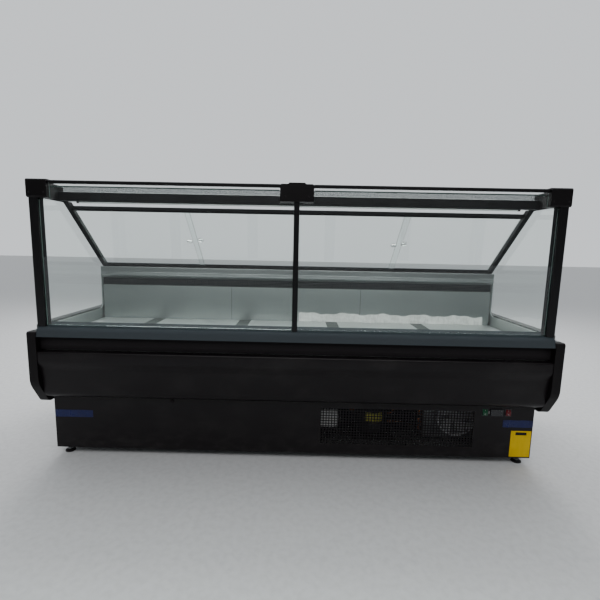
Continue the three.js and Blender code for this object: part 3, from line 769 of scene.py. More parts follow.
@dataclass(frozen=True)
class Rubber(Finish):
    """Matt black rubber or soft PVC, greyed by handling."""

    colour: Colour = (0.0085, 0.0066, 0.0078)
    roughness: float = 0.62

    def paint(self, sheet: ShaderSheet) -> Socket:
        """A soft bloom in patches over a very fine grain.

        Args:
            sheet: Where its nodes go.

        Returns:
            The shader.
        """
        bloom = sheet.noise(11, 5, (0.5, 1, 1), 0.6).eased(0.4, 0.85)
        colour = sheet.blend(bloom * 0.4, self.colour, (0.016, 0.0155, 0.016))
        grain = sheet.bump(sheet.noise(1500, 2), 0.00005)
        rough = self.roughness + bloom * 0.15
        return sheet.shader(Base_Color=colour, Roughness=rough, Normal=grain, Specular_IOR_Level=0.18)


@dataclass(frozen=True)
class BrushedSteel(Finish):
    """Brushed stainless sheet: fine lines along one axis, soft waviness and faint smears."""

    along: Axis = Axis.X
    colour: Colour = (0.50, 0.535, 0.515)
    roughness: float = 0.27
    waviness: float = 0.0012

    def paint(self, sheet: ShaderSheet) -> Socket:
        """Brushing is noise stretched along the grain, and the waviness is what bends the reflections.

        Args:
            sheet: Where its nodes go.

        Returns:
            The shader.
        """
        stretch = tuple(0.02 if a else 1.0 for a in self.along.value)
        lines = sheet.noise(1100, 3, stretch, 0.7)
        smears = sheet.noise(6, 5, (1, 1, 1), 0.62)
        dull = tuple(c * 0.78 for c in self.colour)
        colour = sheet.blend(lines * 0.5 + smears.eased(0.4, 0.8) * 0.35, self.colour, dull)
        rough = self.roughness + (lines - 0.5) * 0.16 + (smears - 0.5) * 0.12
        wave = sheet.bump(sheet.noise(4.5, 2), self.waviness)
        normal = sheet.bump(lines, 0.00003, 1.0, wave)
        return sheet.shader(Base_Color=colour, Roughness=rough, Metallic=1.0, Normal=normal)


@dataclass(frozen=True)
class Galvanised(Finish):
    """Galvanised sheet with a grey crystal pattern."""

    colour: Colour = (0.40, 0.42, 0.42)

    def paint(self, sheet: ShaderSheet) -> Socket:
        """Each crystal has its own shade.

        Args:
            sheet: Where its nodes go.

        Returns:
            The shader.
        """
        crystals = sheet.cells(55, (1, 1, 1), "F2")
        grime = sheet.noise(7, 6).eased(0.35, 0.75)
        colour = sheet.blend(crystals.eased(0.1, 0.9), self.colour, (0.27, 0.285, 0.29))
        colour = sheet.blend(grime * 0.45, colour, (0.11, 0.10, 0.09))
        return sheet.shader(Base_Color=colour, Roughness=0.42 + grime * 0.3, Metallic=0.85)


@dataclass(frozen=True)
class Glass(Finish):
    """Clear toughened glass that lets lamps through, faintly green, with a few wiping marks."""

    tint: Colour = (0.955, 0.985, 0.975)
    haze: float = 0.004

    def paint(self, sheet: ShaderSheet) -> Socket:
        """Rays from lamps pass straight through with the tint; every other ray meets real glass.

        Args:
            sheet: Where its nodes go.

        Returns:
            The shader.
        """
        wipes = sheet.noise(3.5, 5, (1, 1, 0.5), 0.6).eased(0.5, 0.85)
        colour = sheet.blend(wipes * 0.5, self.tint, (0.93, 0.96, 0.955))
        rough = wipes * self.haze
        body = sheet.shader(
            Base_Color=colour, Roughness=rough, Transmission_Weight=1.0, IOR=1.5, Specular_IOR_Level=0.25
        )
        clear = sheet.node("ShaderNodeBsdfTransparent", {}, {"Color": self.tint}).outputs[0]
        lamp = sheet.node("ShaderNodeLightPath").outputs["Is Shadow Ray"]
        return sheet.node("ShaderNodeMixShader", {}, {0: lamp, 1: body, 2: clear}).outputs[0]


@dataclass(frozen=True)
class FinPack(Finish):
    """A pack of thin aluminium fins, seen on edge, with painted shade in the gaps between them and dust caught between
    them.
    """

    pitch: float = 0.0022

    def paint(self, sheet: ShaderSheet) -> Socket:
        """Fins are a saw of height along X; where the saw is low, between the fins, the colour is near black as painted
        shade.

        Args:
            sheet: Where its nodes go.

        Returns:
            The shader.
        """
        settings = {"wave_type": "BANDS", "bands_direction": "X", "wave_profile": "TRI"}
        inputs = {"Vector": sheet.place(), "Scale": 0.314 / self.pitch, "Distortion": 0.0}
        fins = Value(sheet, sheet.node("ShaderNodeTexWave", settings, inputs).outputs["Fac"])
        dust = sheet.noise(13, 6).eased(0.4, 0.75)
        # near black where the saw is low, between the fins: painted shade in the gaps
        colour = sheet.blend(fins.eased(0.15, 0.7), (0.02, 0.02, 0.02), (0.46, 0.47, 0.48))
        colour = sheet.blend(dust * 0.4, colour, (0.14, 0.13, 0.12))
        relief = sheet.bump(fins, 0.0008)
        return sheet.shader(Base_Color=colour, Roughness=0.4 + dust * 0.25, Metallic=0.8, Normal=relief)


@dataclass(frozen=True)
class PlainPlastic(Finish):
    """Moulded plastic of one colour with faint flow marks, in any gloss."""

    colour: Colour = (0.6, 0.6, 0.6)
    roughness: float = 0.4
    shine: float = 0.5

    def paint(self, sheet: ShaderSheet) -> Socket:
        """Flow marks shade the colour a little and change the gloss.

        Args:
            sheet: Where its nodes go.

        Returns:
            The shader.
        """
        flow = sheet.noise(38, 4, (1, 1, 0.4))
        shade = tuple(c * 0.82 for c in self.colour)
        colour = sheet.blend(flow.eased(0.3, 0.8) * 0.6, self.colour, shade)
        rough = self.roughness + (flow - 0.5) * 0.14
        grain = sheet.bump(sheet.noise(800, 2), 0.00003)
        return sheet.shader(Base_Color=colour, Roughness=rough, Normal=grain, Specular_IOR_Level=self.shine)


@dataclass(frozen=True)
class Film(Finish):
    """Thin adhesive film, creased and slightly shiny."""

    colour: Colour = (0.0055, 0.0100, 0.074)

    def paint(self, sheet: ShaderSheet) -> Socket:
        """Creases are ridges of stretched noise.

        Args:
            sheet: Where its nodes go.

        Returns:
            The shader.
        """
        crease = sheet.noise(46, 5, (1, 1, 0.45), 0.65)
        ridge = (crease - 0.5) * (crease - 0.5) * 22.0
        colour = sheet.blend(crease.eased(0.35, 0.75) * 0.6, self.colour, tuple(c * 0.5 for c in self.colour))
        rough = 0.32 + (crease - 0.5) * 0.3
        relief = sheet.bump(ridge, 0.0009)
        return sheet.shader(Base_Color=colour, Roughness=rough, Normal=relief, Specular_IOR_Level=0.3)


@dataclass(frozen=True)
class Mottled(Finish):
    """A first colour that gives way in patches to a second, duller one: tarnish, grinding marks or milkiness."""

    colour: Colour
    second: Colour
    scale: float  # of the patches, in cells a metre
    detail: float
    share: float  # of the second colour where a patch is densest
    roughness: float
    spread: float  # how much rougher a patch is
    edges: Span | None = None  # noise levels between which a patch starts, or none for the noise as it is
    stretch: Trio = (1, 1, 1)
    metal: float = 0.0
    coat: float = 0.0
    shine: float = 0.5

    def paint(self, sheet: ShaderSheet) -> Socket:
        """One noise gives the patches of both the colour and the gloss.

        Args:
            sheet: Where its nodes go.

        Returns:
            The shader.
        """
        noise = sheet.noise(self.scale, self.detail, self.stretch)
        patch = noise.eased(*self.edges) if self.edges else noise
        return sheet.shader(
            Base_Color=sheet.blend(patch * self.share, self.colour, self.second),
            Roughness=self.roughness + patch * self.spread,
            Metallic=self.metal,
            Coat_Weight=self.coat,
            Specular_IOR_Level=self.shine,
        )


PAINT = PaintedSteel("black_powder_coat")
END_MOULDING = Moulding("black_end_moulding", roughness=0.5, shine=0.16)
BLOCK_MOULDING = Moulding("black_block_moulding", (0.0044, 0.0036, 0.0040), 0.42, 1300, 0.00003, 0.14)
# The sill's default Lacquer colours are painted light: a teal sheen on the nose and a darker, shaded level top.
SILL_LACQUER_PAINTED_SHEEN = Lacquer("gloss_black_sill")
RAIL_BLACK = Anodised("black_anodised_along")
POST_BLACK = Anodised("black_anodised_upright", Axis.Z)
POST_CHEEK = Anodised("dark_post_cheek", Axis.Z, (0.0060, 0.0062, 0.0070), 0.55, 0.0, 0.0)
MEMBER_BLACK = Anodised("black_anodised_slant", Axis.X, (0.0050, 0.0052, 0.0060), 0.45, 0.08, 0.0)
SEAL_GREY = PlainPlastic("grey_door_seal", (0.018, 0.019, 0.019), 0.5, 0.2)
SOFT_BLACK = Rubber("soft_black_rubber")
STEEL = BrushedSteel("brushed_stainless", Axis.X, (0.27, 0.29, 0.288), 0.40, 0.0003)
LINER_STEEL = BrushedSteel("brushed_liner_stainless", Axis.Y, (0.50, 0.535, 0.525), 0.38, 0.0004)
# One stainless in two copies: the upright back panel's copy is darker as painted shade, the deck's copy brighter as
# painted light from above.
STEEL_UPRIGHT_PAINTED_SHADE = BrushedSteel("brushed_stainless_upright", Axis.Z, (0.32, 0.355, 0.345), 0.40, 0.0012)
DECK_STEEL_PAINTED_LIGHT = BrushedSteel("brushed_deck_stainless", Axis.Y, (0.74, 0.77, 0.76), 0.45, 0.0004)
# Dark grey strips between the deck plates: painted shade standing in for the gaps between plates.
DECK_GAP_SHADE = PlainPlastic("deck_gap_painted_shade", (0.085, 0.100, 0.094), 0.55, 0.2)
ZINC = Galvanised("galvanised_sheet")
FOAM_LINER = PlainPlastic("pale_foam_liner", (0.66, 0.68, 0.67), 0.5)
CLEAR = Glass("toughened_glass")
CLEAR_TOP = Glass("toughened_top_glass", haze=0.0)
CLEAR_EDGE = Mottled("ground_glass_edge", (0.045, 0.085, 0.075), (0.10, 0.16, 0.145), 900, 3, 1.0, 0.30, 0.2, shine=0.3)
OUTLET_DARK = PlainPlastic("dark_air_outlet", (0.026, 0.031, 0.032), 0.5)
FINS_PAINTED_GAP_SHADE = FinPack("fin_pack")
SHELL_BLACK = PaintedSteel("compressor_enamel", (0.010, 0.010, 0.011), 0.28)
BOX_PALE = PlainPlastic("pale_junction_box", (0.50, 0.51, 0.50), 0.42)
# The condenser fan's pale plastic is partly its own colour and partly painted light: daylight shining through the
# condenser behind it.
FAN_PALE_PAINTED_BACKLIGHT = PlainPlastic("pale_fan_plastic", (0.62, 0.63, 0.62), 0.45)
FAN_BLACK = PlainPlastic("black_fan_plastic", (0.013, 0.014, 0.015), 0.38)
# The plated wire of the fan guard and duct ring is pale partly as its own colour and partly as painted light from
# behind the condenser.
WIRE_PAINTED_BACKLIGHT = Anodised("plated_wire", Axis.X, (0.60, 0.61, 0.62), 0.35)
COPPER = Mottled(
    "copper_pipe", (0.62, 0.26, 0.13), (0.17, 0.075, 0.045), 30, 5, 0.7, 0.28, 0.3, edges=(0.35, 0.75), metal=1.0
)
OPAL = Mottled(
    "opal_lamp_cover", (0.80, 0.82, 0.81), (0.70, 0.73, 0.72), 60, 2, 0.4, 0.34, 0.1, stretch=(0.2, 1, 1), coat=0.2
)
SCREEN = Lacquer("dark_display_window", (0.006, 0.007, 0.010), 0.10, 0.5)
BEZEL = PlainPlastic("display_bezel", (0.012, 0.013, 0.016), 0.32)
GREEN = PlainPlastic("green_key_plastic", (0.006, 0.055, 0.024), 0.24, 0.3)
RED = PlainPlastic("red_key_plastic", (0.095, 0.008, 0.012), 0.24, 0.3)
PALE_MARK = PlainPlastic("pale_mark", (0.34, 0.35, 0.34), 0.4)
SMOKED_LENS = PlainPlastic("smoked_signal_lens", (0.13, 0.125, 0.12), 0.3, 0.4)
BLUE_FILM = Film("blue_protective_film")
WHITE_FILM = Film("white_protective_film", (0.78, 0.80, 0.77))
YELLOW_CARD = PlainPlastic("yellow_tag_card", (0.72, 0.47, 0.004), 0.5, 0.15)
YELLOW_STICKER = PlainPlastic("yellow_blank_sticker", (0.80, 0.76, 0.10), 0.5)


# ---- assemblies


class Assembly(ABC):
    """A sub-assembly: it turns its surfaces into finished pieces that ride on the case's bodies."""

    @abstractmethod
    def build(self) -> None:
        """Makes the sub-assembly's pieces."""

    def piece(
        self,
        name: str,
        surface: Surface,
        finish: Finish,
        body: Body = Body.CASE,
        stands_for: Sequence[str] = (),
        bevel: float = 0.0,
        segments: int = 2,
        edge: Finish | None = None,
        slot: str | None = None,
    ) -> bpy.types.Object:
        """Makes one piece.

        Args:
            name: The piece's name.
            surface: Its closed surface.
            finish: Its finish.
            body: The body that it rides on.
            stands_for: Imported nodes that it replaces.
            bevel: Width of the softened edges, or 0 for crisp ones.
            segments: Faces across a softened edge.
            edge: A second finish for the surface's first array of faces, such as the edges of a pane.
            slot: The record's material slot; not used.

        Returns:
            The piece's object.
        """
        mesh = bpy.data.meshes.new(name)
        rows = [row for faces in surface.faces for row in faces.tolist()]
        mesh.from_pydata(surface.points.tolist(), [], rows)
        mesh.materials.append(finish.material())
        if edge is not None:
            mesh.materials.append(edge.material())
            index = np.zeros(len(rows), np.int32)
            index[: len(surface.faces[0])] = 1
            mesh.polygons.foreach_set("material_index", index)
        shape = bmesh.new()
        shape.from_mesh(mesh)
        bmesh.ops.remove_doubles(shape, verts=shape.verts, dist=WELD)
        bmesh.ops.recalc_face_normals(shape, faces=shape.faces)
        shape.to_mesh(mesh)
        shape.free()
        mesh.shade_smooth()
        made = bpy.data.objects.new(name, mesh)
        bpy.context.scene.collection.objects.link(made)
        if bevel:
            self.soften(made, bevel, segments)
        else:
            mesh.set_sharp_from_angle(angle=SHARP)
        if stands_for:
            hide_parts(*stands_for)
        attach(made, body.value)
        LOG.info("%s rides on %s (%d faces)", name, body.value, len(mesh.polygons))
        return made

    def soften(self, made: bpy.types.Object, width: float, segments: int) -> None:
        """Rounds the edges of a piece with a bevel.

        Args:
            made: The piece.
            width: The bevel's width.
            segments: Faces across it.
        """
        bevel = made.modifiers.new("softened_edges", "BEVEL")
        bevel.width, bevel.segments = width, segments
        bevel.limit_method, bevel.angle_limit = "ANGLE", SHARP
        bevel.harden_normals = True

    def dress(self, node: str, finish: Finish, bevel: float = 0.0, segments: int = 2) -> None:
        """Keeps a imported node's shape, gives it a finish and, where asked, softened edges.

        Args:
            node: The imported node.
            finish: Its finish.
            bevel: Width of the softened edges, or 0 for none.
            segments: Faces across a softened edge.
        """
        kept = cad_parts[node]
        kept.data.materials.clear()
        kept.data.materials.append(finish.material())
        if bevel:
            weld = kept.modifiers.new("joined_corners", "WELD")
            weld.merge_threshold = WELD * 10
            flat = kept.modifiers.new("whole_flats", "DECIMATE")
            flat.decimate_type, flat.angle_limit = "DISSOLVE", FLAT
            self.soften(kept, bevel, segments)
        LOG.info("%s keeps its packed shape", node)


# ---- end panels


@dataclass
class EndPanels(Assembly):
    """The two thick moulded end panels that close the insulated tub."""

    skin: float = 0.042  # thickness of the outer moulding
    front_top: float = 0.646  # height of the low front part
    rim: float = 0.676  # height of the rim beside the side glass
    front_foot: Span = (0.068, 0.392)  # setback of the foot and height of the chamfer's top
    rear_set: float = 0.042  # how far the lower rear stands in from the worktop's edge
    rear_bend: Span = (0.815, 0.870)  # heights between which the rear comes out to the worktop's edge
    floor_step: float = 0.029  # how far the cheek's lower edge stands above the moulding's
    cheek_rear: float = 0.940  # setback of the cheek's rear edge
    rise: float = 0.715  # setback of the moulding's upright part beside the worktop
    glass_rear: float = 0.6103  # setback of the cheek's upright edge, which meets the side glass
    corner: float = 0.045  # radius where the rim turns up

    def outline(self, box: Box) -> Floats:
        """The side view of the outer moulding.

        Args:
            box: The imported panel's box.

        Returns:
            The outline as (y, z) points.
        """
        y, z = box.y0, box.z0
        foot, chamfer = self.front_foot
        low, high = self.rear_bend
        rear = box.y1 - self.rear_set
        return rounded(
            [(y, chamfer, 0.03), (y + foot, z, 0.02), (rear, z, 0.02), (rear, low, 0.012), (box.y1, high, 0.012)]
            + [(box.y1, box.z1, 0.014), (y + self.rise, box.z1, 0.022), (y + self.rise, self.rim, self.corner)]
            + [(y + 0.140, self.rim, 0.03), (y + 0.096, self.front_top, 0.03), (y, self.front_top, 0.013)],
            6,
        )

    def cheek(self, box: Box, sill: Box) -> Floats:
        """The side view of the inner layer that closes the tub and carries the side glass.

        Args:
            box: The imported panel's box.
            sill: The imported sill's box.

        Returns:
            The outline as (y, z) points.
        """
        y = box.y0
        foot, top, ledge = box.z0 + self.floor_step, box.z1 - 0.0003, self.rim - 0.008
        rear, back, inner = y + self.glass_rear, y + self.cheek_rear, sill.y1 + 0.001
        return rounded(
            [(y + 0.048, 0.375, 0), (y + 0.100, foot, 0), (back, foot, 0), (back, top, 0), (rear, top, 0.004)]
            + [(rear, ledge, self.corner), (inner, ledge, 0), (inner, 0.600, 0), (y + 0.048, 0.600, 0)],
            6,
        )

    def build(self) -> None:
        """Makes both ends, each an outer moulding and an inner cheek."""
        sill = Box.of("front_sill")
        box = Box.of("end_panel_right")
        outer = along_case(self.outline(box), box.x1 - self.skin, box.x1)
        inner = along_case(self.cheek(box, sill), box.x0, box.x1 - self.skin + 0.0002)
        for side in Side:
            node = f"end_panel_{side.word}"
            self.piece(f"{node}_moulding", outer.on(side), END_MOULDING, Body.CASE, [node], 0.006, 4)
            self.piece(f"{node}_cheek", inner.on(side), LINER_STEEL, Body.CASE, [node], 0.0012)


# ---- front skirt


@dataclass
class FrontSkirt(Assembly):
    """The sill with its rounded nose, the bumper strip under it and the painted front panel."""

    sheet: float = 0.003  # thickness of the sill and the front panel
    nose_lift: float = 0.006  # how far the joint of sill and bumper stands above their packed one
    crown: float = 0.0022  # how far the bumper's middle swells
    bumper_set: float = 0.0036
    step: Trio = (0.505, 0.055, 0.0148)  # the panel's step: its top, its drop and its setback
    curl: float = 0.044  # radius of the panel's lower edge
    roll: float = 0.009  # radius of the panel's nose

    def sill(self, box: Box) -> Floats:
        """A bull nose that rises to a shoulder, an almost level top up to the lip, and a turn down into the well.

        Args:
            box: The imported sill's box.

        Returns:
            The section as (y, z) points.
        """
        y0, y1, z0, z1 = box.y0, box.y1, box.z0, box.z1
        path = rounded(
            [(y1, z0, 0.0), (y1, z1, 0.003), (y0 + 0.122, z1, 0.006), (y0 + 0.025, z1 - 0.004, 0.0045)]
            + [(y0 + 0.018, z1 - 0.009, 0.0035), (y0 + 0.009, z1 - 0.019, 0.006), (y0 + 0.004, z0 + 0.017, 0.004)]
            + [(y0 + 0.001, z0 + self.nose_lift, 0.0)],
            6,
        )
        return folded(path, self.sheet)

    def bumper(self, box: Box) -> Floats:
        """A soft strip whose face stands at y0 + setback - crown (1 - cos^6 of pi times the share of its height).

        Args:
            box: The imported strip's box.

        Returns:
            The section as (y, z) points.
        """
        top = box.z1 + self.nose_lift
        z = np.linspace(box.z0 + 0.004, top - 0.004, 49)
        share = (z - z[0]) / (z[-1] - z[0])
        swell = self.crown * (1 - np.cos(np.pi * share) ** 6)
        face = np.stack([box.y0 + self.bumper_set - swell, z], 1)
        back = [[box.y1, top], [box.y1, box.z0]]
        return np.vstack([[[box.y0 + 0.004, box.z0]], face, [[box.y0 + 0.004, top]], back])

    def panel(self, box: Box) -> Floats:
        """The painted sheet: a rolled nose, a flat face that eases back by 3 s^2 - 2 s^3, and an edge that curls under.

        Args:
            box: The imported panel's box.

        Returns:
            The section as (y, z) points.
        """
        y, top, low = box.y0, box.z1, box.z0
        turn = np.radians(np.linspace(185, 262, 14))
        curl = np.stack([y + 0.073 + self.curl * np.cos(turn), low + 0.0436 + self.curl * np.sin(turn)], 1)
        nose = np.radians(np.linspace(90, 180, 9))
        roll = np.stack([y + self.roll * (1 + np.cos(nose)), top - self.roll * (1 - np.sin(nose))], 1)
        step_top, step_drop, step_set = self.step
        drop = np.linspace(0, 1, 13)
        ease = drop * drop * (3 - 2 * drop)
        step = np.stack([y + step_set * ease, step_top - step_drop * drop], 1)
        face = np.array([[y + 0.018, 0.425], [y + 0.0235, 0.385], [y + 0.0275, 0.357]])
        path = np.vstack([[[y + 0.0425, top]], roll, step, face, curl])
        return folded(path, self.sheet)

    def build(self) -> None:
        """Makes the three strips from end panel to end panel."""
        sill, bumper, panel = Box.of("front_sill"), Box.of("bumper_strip"), Box.of("front_panel")
        self.piece("sill", along_case(self.sill(sill), sill.x0, sill.x1), SILL_LACQUER_PAINTED_SHEEN, stands_for=["front_sill"])
        strip = along_case(self.bumper(bumper), bumper.x0, bumper.x1)
        self.piece("bumper", strip, SOFT_BLACK, stands_for=["bumper_strip"])
        skirt = along_case(self.panel(panel), panel.x0, panel.x1)
        self.piece("skirt_panel", skirt, PAINT, stands_for=["front_panel"])


# ---- base


@dataclass
class MachineBase(Assembly):
    """The low base: punched front panel, louvred rear panel, frames, tray, feet, plug, film and tag."""

    grille_x: Span = (0.140, 0.897)
    grille_z: Span = (0.090, 0.275)
    grille_count: tuple[int, int] = (54, 14)
    grille_bar: Span = (0.0046, 0.0044)
    louvre_x: Span = (0.140, 1.040)
    louvre_z: Span = (0.110, 0.260)
    louvre_count: tuple[int, int] = (3, 6)
    sheet: float = 0.0016
    flange: float = 0.018
    plug: Span = (-0.600, 0.292)
    film: Trio = (0.190, 0.198, 0.235)  # length, and heights of the lower and upper edge
    short_film: float = 0.78  # the right film's length as a share of the left one's
    tag: tuple[float, float, float, float] = (1.085, 1.185, 0.044, 0.180)  # left, right, bottom and top
    tag_slot: Trio = (0.0275, 0.0225, 0.0065)  # half its width, and its edges under the tag's top

    def front(self) -> None:
        """The punched front panel, with folded edges and the control openings."""
        box = Box.of("base_front_panel")
        sheet = box.but(y1=box.y0 + self.sheet)
        grid = opening_grid(self.grille_x, self.grille_z, self.grille_count, self.grille_bar)
        controls = [Box.of(n) for n in ("rocker_switch_green", "temperature_controller", "rocker_switch_red")]
        inset = [0.0, 0.0025, 0.0]
        holes = [[b.x0 + i, b.z0 + i, b.x1 - i, b.z1 - i] for b, i in zip(controls, inset)]
        panel = pierced(sheet, np.vstack([grid, holes]))
        edges = [
            box.but(y0=sheet.y1, y1=box.y0 + self.flange, z1=box.z0 + self.sheet),
            box.but(y0=sheet.y1, z0=box.z1 - self.sheet),
        ]
        self.piece("base_front", panel, PAINT, stands_for=["base_front_panel"])
        self.piece("base_front_folds", Surface.join(block(e) for e in edges), PAINT)

    def rear(self) -> None:
        """The rear panel with hooded louvres: each hood is a quarter round over its slot."""
        box = Box.of("base_rear_panel")
        sheet = box.but(y0=box.y1 - self.sheet)
        grid = opening_grid(self.louvre_x, self.louvre_z, self.louvre_count, (0.016, 0.016))
        slots = grid.copy()
        slots[:, 3] = slots[:, 1] + 0.006
        inlet = Box.of("mains_inlet")
        hole = np.array([[inlet.x0 + 0.005, inlet.z0 + 0.005, inlet.x1 - 0.005, inlet.z1 - 0.005]])
        self.piece("base_rear", pierced(sheet, np.vstack([slots, hole])), PAINT, stands_for=["base_rear_panel"])
        angle = np.radians(np.linspace(0, 90, 7))
        hoods = []
        for x0, z0, x1, _ in grid:
            arc = np.stack([box.y1 - 0.0008 + 0.008 * np.cos(angle), z0 + 0.012 * np.sin(angle)], 1)
            hoods.append(along_case(folded(arc, 0.0012), x0, x1))
        self.piece("base_rear_hoods", Surface.join(hoods), PAINT)

    def feet(self) -> None:
        """Levelling feet: a domed pad, a threaded stem as stacked ridges, and a lock nut."""
        for row in ("front", "rear"):
            for side in Side:
                node = f"levelling_foot_{row}_{side.word}"
                box = Box.of(node)
                x, y, _ = box.centre
                pad = [(0.004, 0), (0.0232, 0), (0.024, 0.001), (0.0236, 0.006), (0.019, 0.0085), (0.0095, 0.011)]
                pad += [(0.004, 0.011)]
                height = np.linspace(0.011, box.z1, 45)
                thread = np.stack([0.0072 + 0.0007 * np.cos(np.arange(45) * np.pi), height], 1)
                stem = turned_profile(thread, (x, y, 0), Axis.Z, 20)
                flats = [(0.003, 0.0115), (0.0125, 0.0118), (0.0125, 0.0185), (0.003, 0.0188)]
                nut = turned_profile(flats, (x, y, 0), Axis.Z, 6)
                foot = turned_profile(pad, (x, y, 0), Axis.Z)
                self.piece(f"foot_pad_{row}_{side.word}", foot, SOFT_BLACK, stands_for=[node])
                self.piece(f"foot_stem_{row}_{side.word}", Surface.join([stem, nut]), ZINC)

    def trimmings(self) -> None:
        """Hole plug, protective film at both ends, and the blank tag with its slot."""
        box = Box.of("base_front_panel")
        x, z = self.plug
        dome = [(0.0005, -0.0042), (0.006, -0.004), (0.0092, -0.003), (0.0105, -0.0006), (0.0105, 0.0), (0.0005, 0.0)]
        self.piece("hole_plug", turned_profile(dome, (x, box.y0, z), Axis.Y), SOFT_BLACK)
        length, low, high = self.film
        for side in Side:
            start = side.value * (abs(box.x0) - 0.0005)
            x0, x1 = sorted((start, start - side.value * length * (1.0 if side is Side.LEFT else self.short_film)))
            self.piece(f"protective_film_{side.word}", self.creased(x0, x1, low, high, box.y0), BLUE_FILM)
        left, right, bottom, top = self.tag
        card = Box(left, box.y0 - 0.0016, bottom, right, box.y0 - 0.0002, top)
        middle = (left + right) / 2
        half, low_edge, high_edge = self.tag_slot
        slot = np.array([[middle - half, top - low_edge, middle + half, top - high_edge]])
        self.piece("blank_tag", pierced(card, slot), YELLOW_CARD)

    @staticmethod
    def creased(x0: float, x1: float, z0: float, z1: float, y: float) -> Surface:
        """A strip of film whose face stands off by 0.4 mm + 0.3 mm sin(17 u + 5 v) sin^2(4 u - 9 v).

        Args:
            x0: Its left end.
            x1: Its right end.
            z0: Its lower edge.
            z1: Its upper edge.
            y: The panel's face.

        Returns:
            The closed strip.
        """
        u, v = np.meshgrid(np.linspace(0, 1, 61), np.linspace(0, 1, 13))
        lift = 0.0004 + 0.0003 * np.sin(17 * u + 5 * v) * np.sin(4 * u - 9 * v) ** 2
        x = x0 + (x1 - x0) * u
        z = z0 + (z1 - z0) * v + 0.0008 * np.sin(11 * u) * (v - 0.5)
        points = np.stack([x, y - 0.0003 - lift, z], -1).reshape(-1, 3)
        back = points.copy()
        back[:, 1] = y - 0.0001
        return thickened(Surface(points, (grid_faces(13, 61),)), back - points)

    def build(self) -> None:
        """Makes the base and dresses its frames and tray."""
        self.front()
        self.rear()
        self.feet()
        self.trimmings()
        self.dress("base_tray", ZINC)
        for side in Side:
            self.dress(f"base_end_frame_{side.word}", PAINT, 0.0015)


# ---- machinery


